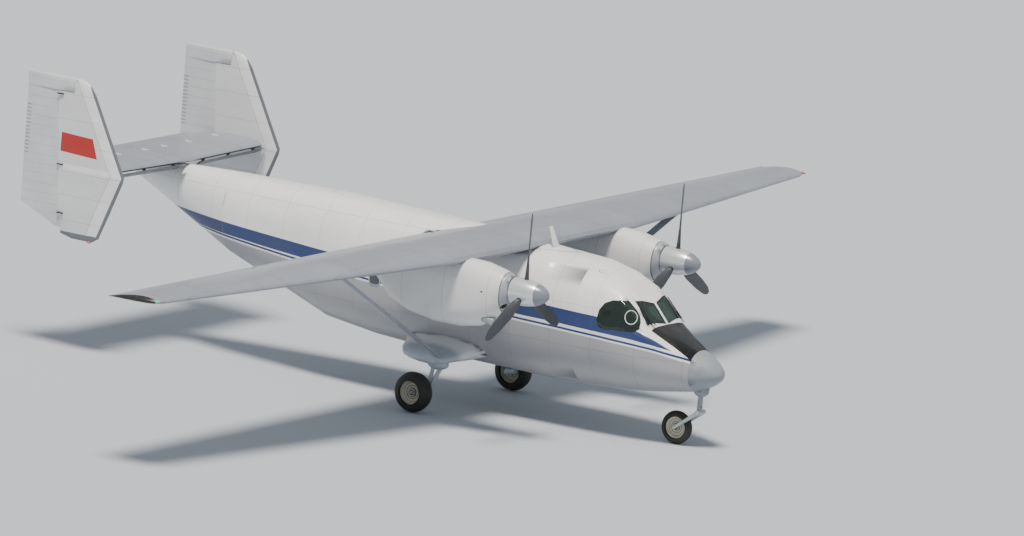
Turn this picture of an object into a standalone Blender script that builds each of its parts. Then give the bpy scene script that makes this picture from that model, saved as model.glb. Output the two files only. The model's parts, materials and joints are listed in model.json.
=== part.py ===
"""Twin-turboprop feeder airliner: braced high wing, twin fins, fixed gear on stub wings.

Metres, +X nose, +Y port wing, +Z up. Every size is given in the airframe's own frame: x from the main
axle, forwards, y from the centre line, z from the ground. The empty "airframe" carries that frame and
is moved forwards by half the difference of nose and tail, so that the aircraft stands centred on the
world's origin.
"""

import math

import bmesh
import bpy
from mathutils import Matrix, Vector

# Driving dimensions
NOSE_X = 5.205
TAIL_X = -7.895
HALF_SPAN = 11.03
FIN_TOP_Z = 4.91
MAIN_AXLE_SHIFT = -(NOSE_X + TAIL_X) / 2

HALF_TRACK = 1.70
WHEELBASE = 4.38
MAIN_TYRE_RADIUS, MAIN_TYRE_WIDTH = 0.36, 0.32
NOSE_TYRE_RADIUS, NOSE_TYRE_WIDTH = 0.2975, 0.185

PROP_Y, PROP_Z, PROP_X = 2.60, 2.67, 2.60
PROP_RADIUS = 1.40
BLADES = 3

TOUCH_GAP = 0.0005
MOVE_GAP = 0.006
COVE_GAP = 0.010
LIP_ANGLE = math.radians(24)
NOSE_SHARE = 0.84

PORT, STARBOARD = 1, -1
SIDES = (("left", PORT), ("right", STARBOARD))

# Finishes: colour, roughness, metallic
WHITE = ((0.86, 0.87, 0.88), 0.35, 0.0)
GREY = ((0.52, 0.54, 0.56), 0.40, 0.0)
DARK = ((0.10, 0.11, 0.12), 0.55, 0.0)
RUBBER = ((0.03, 0.03, 0.03), 0.80, 0.0)
STEEL = ((0.62, 0.64, 0.66), 0.30, 0.8)
HUB_WHITE = ((0.80, 0.80, 0.74), 0.45, 0.0)
GLASS = ((0.20, 0.28, 0.26), 0.10, 0.0)
SEAT = ((0.22, 0.27, 0.25), 0.85, 0.0)


# Scene and object helpers
for old in list(bpy.data.objects):
    bpy.data.objects.remove(old, do_unlink=True)

parts = bpy.data.collections.new("turboprop_airliner")
cutters = bpy.data.collections.new("cutters")
for collection in (parts, cutters):
    bpy.context.scene.collection.children.link(collection)

airframe = bpy.data.objects.new("airframe", None)
airframe.location = (MAIN_AXLE_SHIFT, 0, 0)
parts.objects.link(airframe)


def place(name, mesh, collection, pivot):
    """An object of this mesh, which is given in the airframe's frame, with its origin at pivot."""
    mesh.transform(Matrix.Translation(-Vector(pivot)))
    obj = bpy.data.objects.new(name, mesh)
    collection.objects.link(obj)
    obj.parent = airframe
    obj.location = pivot
    return obj


def part(name, mesh, finish, pivot=(0, 0, 0), smooth_below=35):
    colour, roughness, metallic = finish
    obj = place(name, mesh, parts, pivot)
    material = bpy.data.materials.new(name + "_finish")
    material.use_nodes = True
    shader = material.node_tree.nodes["Principled BSDF"]
    shader.inputs["Base Color"].default_value = (*colour, 1)
    shader.inputs["Roughness"].default_value = roughness
    shader.inputs["Metallic"].default_value = metallic
    mesh.materials.append(material)
    mesh.shade_smooth()
    mesh.set_sharp_from_angle(angle=math.radians(smooth_below))
    return obj


def tool(name, mesh):
    """A helper that cuts or joins: no part of the aircraft by itself."""
    obj = place(name, mesh, cutters, (0, 0, 0))
    obj.hide_render = True
    obj.display_type = "WIRE"
    return obj


def boolean(obj, other, operation, solver="EXACT"):
    modifier = obj.modifiers.new(operation.lower() + "_" + other.name, "BOOLEAN")
    modifier.object = other
    modifier.operation = operation
    modifier.solver = solver


def cut(obj, *others, solver="EXACT"):
    for other in others:
        boolean(obj, other, "DIFFERENCE", solver)


def join(obj, *others):
    for other in others:
        boolean(obj, other, "UNION")


# Mesh helpers
def mesh_of(bm, name):
    mesh = bpy.data.meshes.new(name)
    bm.to_mesh(mesh)
    bm.free()
    return mesh


def loft(name, rings):
    """A closed skin through rings of equally many points. A ring of one point closes an end."""
    bm = bmesh.new()
    loops = [[bm.verts.new(point) for point in ring] for ring in rings]
    for near, far in zip(loops, loops[1:]):
        count = max(len(near), len(far))
        for i in range(count):
            j = (i + 1) % count
            if len(near) == 1:
                bm.faces.new((near[0], far[j], far[i]))
            elif len(far) == 1:
                bm.faces.new((near[i], near[j], far[0]))
            else:
                bm.faces.new((near[i], near[j], far[j], far[i]))
    for end in (loops[0], loops[-1]):
        if len(end) > 2:
            bm.faces.new(end)
    bmesh.ops.triangulate(bm, faces=bm.faces)
    bmesh.ops.recalc_face_normals(bm, faces=bm.faces)
    return mesh_of(bm, name)


def box(name, low, high):
    bm = bmesh.new()
    size = Vector(high) - Vector(low)
    middle = (Vector(high) + Vector(low)) / 2
    bmesh.ops.create_cube(bm, size=1, matrix=Matrix.Translation(middle) @ Matrix.Diagonal((*size, 1)))
    return mesh_of(bm, name)


def rod(name, start, end, radius, end_radius=None, sides=14):
    """A round bar or cone from start to end."""
    start, end = Vector(start), Vector(end)
    along = end - start
    turn = along.to_track_quat("Z", "Y").to_matrix().to_4x4()
    bm = bmesh.new()
    bmesh.ops.create_cone(
        bm,
        cap_ends=True,
        segments=sides,
        radius1=radius,
        radius2=radius if end_radius is None else end_radius,
        depth=along.length,
        matrix=Matrix.Translation((start + end) / 2) @ turn,
    )
    return mesh_of(bm, name)


def ball(name, middle, radii, segments=20, rings=10):
    bm = bmesh.new()
    matrix = Matrix.Translation(middle) @ Matrix.Diagonal((*radii, 1))
    bmesh.ops.create_uvsphere(bm, u_segments=segments, v_segments=rings, radius=1, matrix=matrix)
    return mesh_of(bm, name)


def prism(name, outline, axis, low, high):
    """A flat outline swept along Y or Z between low and high."""
    lift = (lambda p, v: (p[0], v, p[1])) if axis == "Y" else (lambda p, v: (p[0], p[1], v))
    return loft(name, [[lift(p, value) for p in outline] for value in (low, high)])


def turned(name, profile, middle, axis, steps):
    """A profile of (radius, place along the axis) turned about that axis, from pole or hole to the same."""
    bm = bmesh.new()
    turn = Vector((0, 0, 1)).rotation_difference(Vector(axis)).to_matrix().to_4x4()
    move = Matrix.Translation(middle) @ turn
    closed = profile[0][0] > 0
    loops = []
    for radius, height in profile:
        if radius == 0:
            loops.append([bm.verts.new(move @ Vector((0, 0, height)))])
            continue
        angles = [2 * math.pi * i / steps for i in range(steps)]
        points = [Vector((radius * math.cos(a), radius * math.sin(a), height)) for a in angles]
        loops.append([bm.verts.new(move @ p) for p in points])
    pairs = list(zip(loops, loops[1:]))
    if closed:
        pairs.append((loops[-1], loops[0]))
    for near, far in pairs:
        for i in range(steps):
            j = (i + 1) % steps
            corners = [near[i % len(near)], near[j % len(near)], far[j % len(far)], far[i % len(far)]]
            bm.faces.new(list(dict.fromkeys(corners)))
    bmesh.ops.recalc_face_normals(bm, faces=bm.faces)
    return mesh_of(bm, name)


# Fuselage: sections across x, each a superellipse with its own squareness above and below
RING_POINTS = 32
# x, crown z, keel z, half width, widest z, squareness above, squareness below
FUSELAGE = (
    (5.165, 1.46, 1.235, 0.14, 1.345, 2.0, 2.0),
    (5.06, 1.555, 1.145, 0.25, 1.34, 2.0, 2.0),
    (4.91, 1.64, 1.06, 0.345, 1.34, 2.1, 2.0),
    (4.74, 1.725, 0.985, 0.43, 1.35, 2.2, 2.0),
    (4.40, 1.885, 0.93, 0.585, 1.40, 2.9, 2.0),
    (4.03, 2.044, 0.875, 0.72, 1.48, 4.4, 2.1),
    (3.70, 2.41, 0.835, 0.815, 1.60, 3.9, 2.1),
    (3.42, 2.67, 0.81, 0.87, 1.72, 3.1, 2.2),
    (3.10, 2.86, 0.79, 0.915, 1.82, 2.5, 2.2),
    (2.62, 2.99, 0.77, 0.945, 1.90, 2.3, 2.3),
    (1.70, 3.05, 0.77, 0.95, 1.93, 2.3, 2.4),
    (0.30, 3.17, 0.80, 0.95, 1.95, 2.3, 2.4),
    (-0.70, 3.215, 0.865, 0.94, 1.97, 2.3, 2.4),
    (-1.70, 3.25, 0.93, 0.91, 2.03, 2.3, 2.4),
    (-2.70, 3.285, 1.06, 0.83, 2.16, 2.3, 2.4),
    (-4.90, 3.285, 1.85, 0.52, 2.62, 2.2, 2.3),
    (-5.65, 3.27, 2.22, 0.38, 2.80, 2.1, 2.2),
    (-6.35, 3.25, 2.56, 0.24, 2.94, 2.0, 2.0),
    (-7.20, 3.19, 2.98, 0.07, 3.09, 2.0, 2.0),
)
NOSE_TIP_Z = 1.355
NOSE_SEAM_X, COCKPIT_BACK_X, TAIL_SEAM_X = 4.74, 2.62, -4.95


def power(value, squareness):
    return math.copysign(abs(value) ** (2 / squareness), value)


def oval(x, top, bottom, half_width, widest, above, below, y=0.0, points=RING_POINTS):
    """One ring in the plane across x."""
    ring = []
    for i in range(points):
        angle = 2 * math.pi * i / points
        upper = math.sin(angle) >= 0
        squareness = above if upper else below
        height = (top - widest) if upper else (widest - bottom)
        across = half_width * power(math.cos(angle), squareness)
        ring.append((x, y + across, widest + height * power(math.sin(angle), squareness)))
    return ring


def fuselage_ring(row, grow=0.0, x=None):
    station, crown, keel, half_width, widest, above, below = row
    where = station if x is None else x
    return oval(where, crown + grow, keel - grow, half_width + grow, widest, above, below)


def between(table, x):
    """The table's row at x, read along straight lines between its rows."""
    for front, back in zip(table, table[1:]):
        if front[0] >= x >= back[0]:
            share = (front[0] - x) / (front[0] - back[0])
            return tuple(a + (b - a) * share for a, b in zip(front, back))
    raise ValueError(x)


def fuselage_span(front_x, back_x):
    """The fuselage's rows from front_x to back_x, with both ends."""
    inner = [row for row in FUSELAGE if front_x - 0.02 > row[0] > back_x + 0.02]
    return [between(FUSELAGE, front_x), *inner, between(FUSELAGE, back_x)]


def fuselage_loft(name, front_x, back_x, grow=0.0):
    return loft(name, [fuselage_ring(row, grow) for row in fuselage_span(front_x, back_x)])


nose_rows = fuselage_span(FUSELAGE[0][0], NOSE_SEAM_X + TOUCH_GAP / 2)
nose_rings = [[(NOSE_X, 0, NOSE_TIP_Z)], *[fuselage_ring(row) for row in nose_rows]]
nose_cone = part("nose_cone", loft("nose_cone", nose_rings), GREY)

# Cockpit: one shell with the windscreen and side windows cut, glass set flush in them
GLASS_THICK = 0.012
GLASS_GAP = 0.003
COCKPIT_FLOOR_Z = 1.22
# x, top z, half width of the hollow; its floor is flat
COCKPIT_SPACE = (
    (4.52, 1.74, 0.44),
    (4.03, 1.985, 0.66),
    (3.70, 2.345, 0.755),
    (3.42, 2.60, 0.81),
    (3.10, 2.79, 0.855),
    (2.55, 2.92, 0.885),
)
# Windscreen pane as seen from above (x, y), port side
PANE_TOP_X, PANE_FOOT_X = 3.715, 4.00
PANE = ((PANE_TOP_X, 0.035), (3.60, 0.50), (3.93, 0.585), (PANE_FOOT_X, 0.035))
# Side window as seen from the side (x, z)
SIDE_WINDOW = (
    (3.08, 2.08),
    (3.10, 2.26),
    (3.17, 2.39),
    (3.30, 2.455),
    (3.62, 2.47),
    (3.70, 2.39),
    (3.84, 2.14),
    (3.86, 2.03),
    (3.78, 1.965),
    (3.24, 1.94),
    (3.12, 1.98),
)


def shrunk(outline, by):
    """The outline with each point moved towards its middle by this much."""
    middle = sum((Vector(p) for p in outline), Vector((0, 0))) / len(outline)
    return [tuple(Vector(p) + (middle - Vector(p)).normalized() * by) for p in outline]


def mirrored(outline, side):
    """A plan outline on the port or the starboard side."""
    return [(x, side * y) for x, y in outline]


cockpit_shell = part(
    "cockpit_shell",
    fuselage_loft("cockpit_shell", NOSE_SEAM_X - TOUCH_GAP / 2, COCKPIT_BACK_X + TOUCH_GAP / 2),
    WHITE,
)


def cockpit_hollow(name, shrink=0.0):
    rings = []
    for x, top, half_width in COCKPIT_SPACE:
        middle = (top + COCKPIT_FLOOR_Z) / 2 - 0.1
        rings.append(oval(x, top - shrink, COCKPIT_FLOOR_Z + shrink, half_width - shrink, middle, 2.6, 5.0))
    return tool(name, loft(name, rings))


cockpit_space = cockpit_hollow("cockpit_space")
cockpit_room = cockpit_hollow("cockpit_room", TOUCH_GAP)
cut(cockpit_shell, cockpit_space)
cockpit_skin = tool("cockpit_skin", fuselage_loft("cockpit_skin", 4.60, 2.70))
cockpit_lining = tool("cockpit_lining", fuselage_loft("cockpit_lining", 4.70, 2.65, -GLASS_THICK))
cut(cockpit_skin, cockpit_lining)

for label, side in SIDES:
    pane_hole = tool("pane_hole_" + label, prism("pane", mirrored(PANE, side), "Z", 1.90, 2.75))
    pane_fill = prism("windscreen_" + label, mirrored(shrunk(PANE, GLASS_GAP), side), "Z", 1.91, 2.74)
    windscreen = part("windscreen_" + label, pane_fill, GLASS)
    boolean(windscreen, cockpit_skin, "INTERSECT")
    inboard, outboard = sorted((side * 0.60, side * 1.3))
    window_hole = tool("window_hole_" + label, prism("window", SIDE_WINDOW, "Y", inboard, outboard))
    window_fill = prism("side_window_" + label, shrunk(SIDE_WINDOW, GLASS_GAP), "Y", inboard, outboard)
    side_window = part("side_window_" + label, window_fill, GLASS)
    boolean(side_window, cockpit_skin, "INTERSECT")
    cut(cockpit_shell, pane_hole, window_hole)

# Instrument panel and seats, seen through the glass
panel_body = box("instrument_panel", (3.78, -0.52, 1.55), (3.90, 0.52, 1.90))
instrument_panel = part("instrument_panel", panel_body, DARK)
panel_hood = tool("panel_hood", box("panel_hood", (3.66, -0.50, 1.86), (3.93, 0.50, 1.905)))
panel_foot = tool("panel_foot", box("panel_foot", (3.80, -0.12, COCKPIT_FLOOR_Z - 0.02), (3.89, 0.12, 1.60)))
join(instrument_panel, panel_hood, panel_foot)
boolean(instrument_panel, cockpit_room, "INTERSECT")

SEAT_X, SEAT_Y = 3.22, 0.42
# The back's outline from the side: x from the seat's middle, and z
SEAT_BACK = ((-0.24, 1.54), (-0.12, 1.54), (-0.21, 2.34), (-0.30, 2.34))
for label, side in SIDES:
    y = side * SEAT_Y
    seat = part(
        "pilot_seat_" + label,
        box("pilot_seat", (SEAT_X - 0.22, y - 0.22, 1.52), (SEAT_X + 0.24, y + 0.22, 1.64)),
        SEAT,
    )
    back_outline = [(SEAT_X + x, z) for x, z in SEAT_BACK]
    seat_back = tool("seat_back_" + label, prism("seat_back", back_outline, "Y", y - 0.20, y + 0.20))
    seat_base = tool(
        "seat_base_" + label,
        box("seat_base", (SEAT_X - 0.14, y - 0.14, COCKPIT_FLOOR_Z - 0.02), (SEAT_X + 0.16, y + 0.14, 1.56)),
    )
    join(seat, seat_back, seat_base)
    boolean(seat, cockpit_room, "INTERSECT")

# Cabin: hollow from the cockpit's bulkhead to the tail, with the clamshell doors' opening in its floor
CABIN_FLOOR_Z, CABIN_CEILING_Z = 1.10, 2.84
DOOR_FRONT_X, DOOR_BACK_X = -2.70, -4.80
BULKHEAD = 0.05
DOOR_THICK = 0.06
CABIN_WALL = 0.06
# The hollow seen from the side (x, z): a flat floor, a lower ceiling under the wing, the whole tail bay
CABIN_ROOM = (
    (COCKPIT_BACK_X - BULKHEAD, CABIN_FLOOR_Z),
    (COCKPIT_BACK_X - BULKHEAD, CABIN_CEILING_Z),
    (-0.84, CABIN_CEILING_Z),
    (-0.84, 3.40),
    (-5.30, 3.40),
    (-5.30, 0.80),
    (DOOR_FRONT_X + 0.05, 0.80),
    (DOOR_FRONT_X + 0.05, CABIN_FLOOR_Z),
)
# Ring points counted from the port side; the lower half runs from 3/4 turn back to 1/2 turn
DOOR_EDGE_POINT = RING_POINTS - 5

cabin_shell = part(
    "cabin_shell",
    fuselage_loft("cabin_shell", COCKPIT_BACK_X - TOUCH_GAP / 2, TAIL_SEAM_X + TOUCH_GAP / 2),
    WHITE,
)
cabin_space = tool("cabin_space", prism("cabin_space", CABIN_ROOM, "Y", -1.2, 1.2))
cabin_lining = tool("cabin_lining", fuselage_loft("cabin_lining", 2.60, TAIL_SEAM_X - 0.20, -CABIN_WALL))
boolean(cabin_space, cabin_lining, "INTERSECT")
doorway = tool("doorway", box("doorway", (2.40, -0.28, CABIN_FLOOR_Z + 0.03), (2.75, 0.28, 2.62)))
cut(cabin_shell, cabin_space, doorway)

door_front_edge = Vector(fuselage_ring(between(FUSELAGE, DOOR_FRONT_X))[DOOR_EDGE_POINT])
door_back_edge = Vector(fuselage_ring(between(FUSELAGE, DOOR_BACK_X))[DOOR_EDGE_POINT])
door_line = (door_front_edge - door_back_edge).normalized()


def door_block(name, side, gap, front, middle, low, high):
    """The room of one door: a gap past its hinge line and its back end, and front past its front end."""
    reach = 0.3
    plan = [
        (DOOR_FRONT_X + reach, side * middle),
        (DOOR_FRONT_X + reach, side * (door_front_edge + door_line * reach).y + side * gap),
        (DOOR_BACK_X - reach, side * (door_back_edge - door_line * reach).y + side * gap),
        (DOOR_BACK_X - reach, side * middle),
    ]
    ends = []
    for edge, along, heights in ((door_front_edge, front, (0.4, 2.4)), (door_back_edge, -gap, (2.4, 0.4))):
        for z in heights:
            lean = (z - edge.z) * -door_line.z / door_line.x
            ends.append((edge.x + along / door_line.x + lean, z))
    block = tool(name, prism(name, plan, "Z", low, high))
    boolean(block, tool(name + "_ends", prism(name + "_ends", ends, "Y", -1.0, 1.0)), "INTERSECT")
    return block


door_lining = tool("door_lining", fuselage_loft("door_lining", -2.45, TAIL_SEAM_X - 0.02, -DOOR_THICK))
DOOR_LID_Z = 2.20
# The leaf stops short here, as its end is square to the hinge line from the side only
DOOR_FRONT_TRIM = 0.014
for label, side in SIDES:
    cut(cabin_shell, door_block("door_hole_" + label, side, MOVE_GAP, MOVE_GAP, -0.01, 0.5, DOOR_LID_Z))
    hinge = (door_front_edge.x, side * door_front_edge.y, door_front_edge.z)
    leaf = fuselage_loft("rear_door_" + label, -2.50, TAIL_SEAM_X)
    rear_door = part("rear_door_" + label, leaf, WHITE, pivot=hinge)
    cut(rear_door, door_lining)
    room = door_block("door_room_" + label, side, 0.0, -DOOR_FRONT_TRIM, 0.003, 0.6, DOOR_LID_Z - 0.01)
    boolean(rear_door, room, "INTERSECT")

# Tail cone
TAIL_WALL = 0.05
tail_rings = [fuselage_ring(row) for row in fuselage_span(TAIL_SEAM_X - TOUCH_GAP / 2, FUSELAGE[-1][0])]
tail_cone = part("tail_cone", loft("tail_cone", tail_rings), WHITE)
tail_space = tool("tail_space", fuselage_loft("tail_space", TAIL_SEAM_X + 0.10, -6.70, -TAIL_WALL))
cut(tail_cone, tail_space)


# Lifting surfaces
FOIL_STEPS = 11


def half_thickness(s, thickness):
    """Half the section's thickness at the share s of its chord, for a chord of 1."""
    series = 0.2969 * math.sqrt(s) - 0.1260 * s - 0.3516 * s**2 + 0.2843 * s**3 - 0.1036 * s**4
    return 5 * thickness * series + 0.0015 * s


def camber_line(s, camber, peak=0.4):
    if s < peak:
        return camber / peak**2 * (2 * peak * s - s**2)
    return camber / (1 - peak) ** 2 * ((1 - 2 * peak) + 2 * peak * s - s**2)


def cove_outline(reach, back, clear, arc=6):
    """(forward, up) about a hinge: a cove whose lips end a little ahead of it, and all that lies aft."""
    lip = math.pi / 2 - LIP_ANGLE
    angles = [lip - 2 * lip * i / arc for i in range(arc + 1)]
    cove = [(reach * math.cos(angle), reach * math.sin(angle)) for angle in angles]
    return cove + [(0.0, -clear), (back, -clear), (back, clear), (0.0, clear)]


class Surface:
    """A tapered surface: chord, leading edge and height read between two stations of its span."""

    def __init__(self, stations, thickness, camber, incidence, upright=False):
        # span, leading edge x, trailing edge x, height of the trailing edge
        self.stations = stations
        self.thickness = thickness
        self.camber = camber
        self.incidence = incidence
        self.upright = upright

    def at(self, span):
        rows = self.stations
        for first, last in zip(rows, rows[1:]):
            if first[0] <= span <= last[0] or (last is rows[-1] and span > last[0]) or span < rows[0][0]:
                share = (span - first[0]) / (last[0] - first[0])
                return [a + (b - a) * share for a, b in zip(first[1:], last[1:])]
        raise ValueError(span)

    def point(self, span, s, off, scale=1.0):
        """The point at the share s of the chord, off its chord line by off, in chords."""
        front, back, height = self.at(span)
        chord = front - back
        x = front - s * chord
        lift = (1 - s) * chord * math.tan(self.incidence) + off * chord * scale
        if self.upright:
            return (x, height + lift, span)
        return (x, span, height + lift)

    def skin(self, s, upper):
        share = 1 if upper else -1
        return camber_line(s, self.camber) + share * half_thickness(s, self.thickness)

    def ring(self, span, grow=0.0, scale=1.0):
        """The whole section, from the trailing edge over the top to the nose and back below."""
        front, back, _ = self.at(span)
        grown = grow / (front - back)
        steps = [(1 - math.cos(math.pi * i / FOIL_STEPS)) / 2 for i in range(FOIL_STEPS + 1)]
        loop = []
        for s in reversed(steps):
            place_s = s * (1 + 2 * grown) - grown
            loop.append(self.point(span, place_s, self.skin(s, True) + grown, scale))
        for s in steps[1:]:
            place_s = s * (1 + 2 * grown) - grown
            loop.append(self.point(span, place_s, self.skin(s, False) - grown, scale))
        return loop

    def hinge(self, span, flap_chord):
        """The hinge point and the radius of the flap's round nose there."""
        front, back, _ = self.at(span)
        s = 1 - flap_chord / (front - back)
        middle = (self.skin(s, True) + self.skin(s, False)) / 2
        radius = (self.skin(s, True) - self.skin(s, False)) / 2 * (front - back) * NOSE_SHARE
        return Vector(self.point(span, s, middle)), radius

    def flap_ring(self, span, flap_chord, arc=6, steps=4):
        """The section aft of the hinge, with a round nose about it."""
        front, back, _ = self.at(span)
        centre, radius = self.hinge(span, flap_chord)
        start = 1 - flap_chord / (front - back)
        tail = [start + (1 - start) * i / steps for i in range(1, steps + 1)]
        loop = [self.point(span, s, self.skin(s, True)) for s in reversed(tail)]
        for i in range(arc + 1):
            angle = math.pi / 2 - math.pi * i / arc
            loop.append(self.beside(centre, radius * math.cos(angle), radius * math.sin(angle)))
        loop += [self.point(span, s, self.skin(s, False)) for s in tail]
        return loop

    def bay_ring(self, span, flap_chord):
        """What a flap's bay takes out of the surface: the cove about its nose and all that lies aft."""
        centre, radius = self.hinge(span, flap_chord)
        outline = cove_outline(radius + COVE_GAP, -flap_chord - 0.2, 3.5 * radius)
        return [self.beside(centre, forward, up) for forward, up in outline]

    def core_ring(self, span, first, last, wall, steps=5):
        """The hollow between the shares first and last of the chord, a wall inside both skins."""
        front, back, _ = self.at(span)
        inset = wall / (front - back)
        shares = [first + (last - first) * i / steps for i in range(steps + 1)]
        upper = [self.point(span, s, self.skin(s, True) - inset) for s in shares]
        lower = [self.point(span, s, self.skin(s, False) + inset) for s in reversed(shares)]
        return upper + lower

    def beside(self, centre, forward, up):
        offset = (forward, up, 0) if self.upright else (forward, 0, up)
        return tuple(centre + Vector(offset))


# Wing
WING_TE_X, WING_TE_Z = -0.74, 2.95
ROOT_CHORD, TIP_CHORD = 2.20, 1.10
WING_JOINT_Y = 3.12
TIP_Y = 10.80
WING_INCIDENCE = math.radians(3.2)
wing = Surface(
    (
        (0.0, WING_TE_X + ROOT_CHORD, WING_TE_X, WING_TE_Z),
        (WING_JOINT_Y, WING_TE_X + ROOT_CHORD, WING_TE_X, WING_TE_Z),
        (TIP_Y, WING_TE_X + TIP_CHORD, WING_TE_X, WING_TE_Z),
    ),
    thickness=0.14,
    camber=0.03,
    incidence=WING_INCIDENCE,
)
FLAP_CHORD = 0.45
INNER_FLAP = (0.97, 2.20)
OUTER_FLAP = (WING_JOINT_Y + 0.05, 6.80)
AILERON = (6.86, 10.55)
AILERON_CHORDS = (0.42, 0.287)
END_GAP = 0.008


def on_side(ring, side):
    return [(x, side * y, z) for x, y, z in ring]


def bay(name, surface, spans, chords, side=PORT):
    rings = [surface.bay_ring(span, chord) for span, chord in zip(spans, chords)]
    return tool(name, loft(name, [on_side(ring, side) for ring in rings]))


def flap(name, surface, spans, chords, finish, side=PORT):
    rings = [on_side(surface.flap_ring(span, chord), side) for span, chord in zip(spans, chords)]
    centre, _ = surface.hinge(spans[0], chords[0])
    pivot = on_side([centre], side)[0]
    return part(name, loft(name, rings), finish, pivot=pivot)


def widened(spans, by):
    return (spans[0] - by, spans[1] + by)


centre_spans = (-WING_JOINT_Y, 0.0, WING_JOINT_Y)
centre_rings = [on_side(wing.ring(abs(span)), -1 if span < 0 else 1) for span in centre_spans]
wing_centre = part("wing_centre", loft("wing_centre", centre_rings), GREY)


# span and share of the section's height in the rounded tip
WING_TIP = ((10.93, 0.86), (11.00, 0.58), (HALF_SPAN, 0.22))


def tip_rings(side):
    """The outer panel's sections, closed by a rounded tip."""
    rows = ((WING_JOINT_Y + TOUCH_GAP, 1.0), (TIP_Y, 1.0), *WING_TIP)
    rings = []
    for span, share in rows:
        ring = wing.ring(min(span, TIP_Y))
        if span > TIP_Y:
            front, back, _ = wing.at(TIP_Y)
            anchor_x = back + (front - back) * 0.25
            anchor_z = sum(p[2] for p in ring) / len(ring)
            width = 0.55 + 0.45 * share
            offsets = [(x - anchor_x, z - anchor_z) for x, _, z in ring]
            ring = [(anchor_x + x * width, span, anchor_z + z * share) for x, z in offsets]
        rings.append(on_side(ring, side))
    return rings


for label, side in SIDES:
    outer = part("wing_" + label, loft("wing", tip_rings(side)), GREY)
    for kind, host, spans, chords in (
        ("flap_inner_", wing_centre, INNER_FLAP, (FLAP_CHORD, FLAP_CHORD)),
        ("flap_outer_", outer, OUTER_FLAP, (FLAP_CHORD, FLAP_CHORD)),
        ("aileron_", outer, AILERON, AILERON_CHORDS),
    ):
        cut(host, bay("bay_" + kind + label, wing, widened(spans, END_GAP), chords, side), solver="MANIFOLD")
        flap(kind + label, wing, spans, chords, GREY, side)

wing_space = tool("wing_space", loft("wing_space", [on_side(wing.ring(1.4, 0.004), s) for s in (-1, 1)]))
cut(cabin_shell, wing_space)

# Nacelles: cowling shell with the chin intake, engine block inside
# x, top z, bottom z, half width, widest z, squareness
NACELLE = (
    (2.36, 2.93, 2.41, 0.26, 2.67, 2.0),
    (2.26, 2.965, 2.27, 0.295, 2.63, 2.1),
    (2.10, 3.01, 2.12, 0.335, 2.58, 2.2),
    (1.78, 3.075, 1.945, 0.385, 2.52, 2.4),
    (1.42, 3.09, 1.88, 0.40, 2.48, 2.6),
    (0.90, 3.08, 1.885, 0.40, 2.48, 2.6),
    (0.35, 3.05, 1.98, 0.36, 2.50, 2.5),
    (-0.04, 3.03, 2.135, 0.29, 2.55, 2.3),
    (-0.35, 3.00, 2.44, 0.19, 2.66, 2.1),
    (-0.56, 2.985, 2.74, 0.08, 2.84, 2.0),
)
COWL_WALL = 0.03
INTAKE_Z, INTAKE_RADIUS = 2.36, 0.085
SHAFT_RADIUS, SHAFT_BORE = 0.05, 0.058


def nacelle_loft(name, side, grow=0.0, rows=NACELLE):
    rings = []
    for x, top, bottom, half_width, widest, squareness in rows:
        size = (top + grow, bottom - grow, half_width + grow, widest, squareness, squareness)
        rings.append(oval(x, *size, y=side * PROP_Y, points=20))
    return loft(name, rings)


wing_under_rings = [on_side(wing.ring(WING_JOINT_Y, TOUCH_GAP), side) for side in (STARBOARD, PORT)]
wing_under = tool("wing_under", loft("wing_under", wing_under_rings))
for label, side in SIDES:
    cowl = part("nacelle_" + label, nacelle_loft("nacelle", side), WHITE)
    front_row = between(NACELLE, 2.32)
    inner_rows = (front_row, *NACELLE[2:8:2], NACELLE[7])
    cut(cowl, tool("cowl_space_" + label, nacelle_loft("cowl_space", side, -COWL_WALL, inner_rows)))
    cut(cowl, wing_under)
    y = side * PROP_Y
    intake = rod("intake", (1.9, y, INTAKE_Z), (2.6, y, INTAKE_Z), INTAKE_RADIUS, sides=16)
    shaft_hole = rod("shaft_hole", (2.1, y, PROP_Z), (2.6, y, PROP_Z), SHAFT_BORE, sides=16)
    cut(cowl, tool("intake_" + label, intake), tool("shaft_hole_" + label, shaft_hole))
    engine = rod("engine_" + label, (0.45, y, 2.52), (2.06, y, 2.62), 0.27, 0.22, sides=16)
    part("engine_" + label, engine, STEEL)

# Propellers: spinner over a hub that carries three blades
SPINNER_BACK_X, SPINNER_SHOULDER_X, SPINNER_TIP_X = 2.385, 2.52, 3.075
SPINNER_RADIUS, SPINNER_WALL, BACKPLATE = 0.245, 0.012, 0.015
HUB_RADIUS, HUB_CLEARANCE = 0.088, 0.004
SHANK_RADIUS = 0.043
# radius, chord, thickness, pitch in degrees
BLADE = (
    (0.03, 0.086, 0.086, 55),
    (0.20, 0.086, 0.086, 55),
    (0.33, 0.15, 0.060, 46),
    (0.60, 0.215, 0.036, 33),
    (1.00, 0.205, 0.022, 23),
    (1.28, 0.16, 0.014, 18),
    (PROP_RADIUS, 0.07, 0.008, 16),
)
BLADE_SECTION_POINTS = 10


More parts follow.
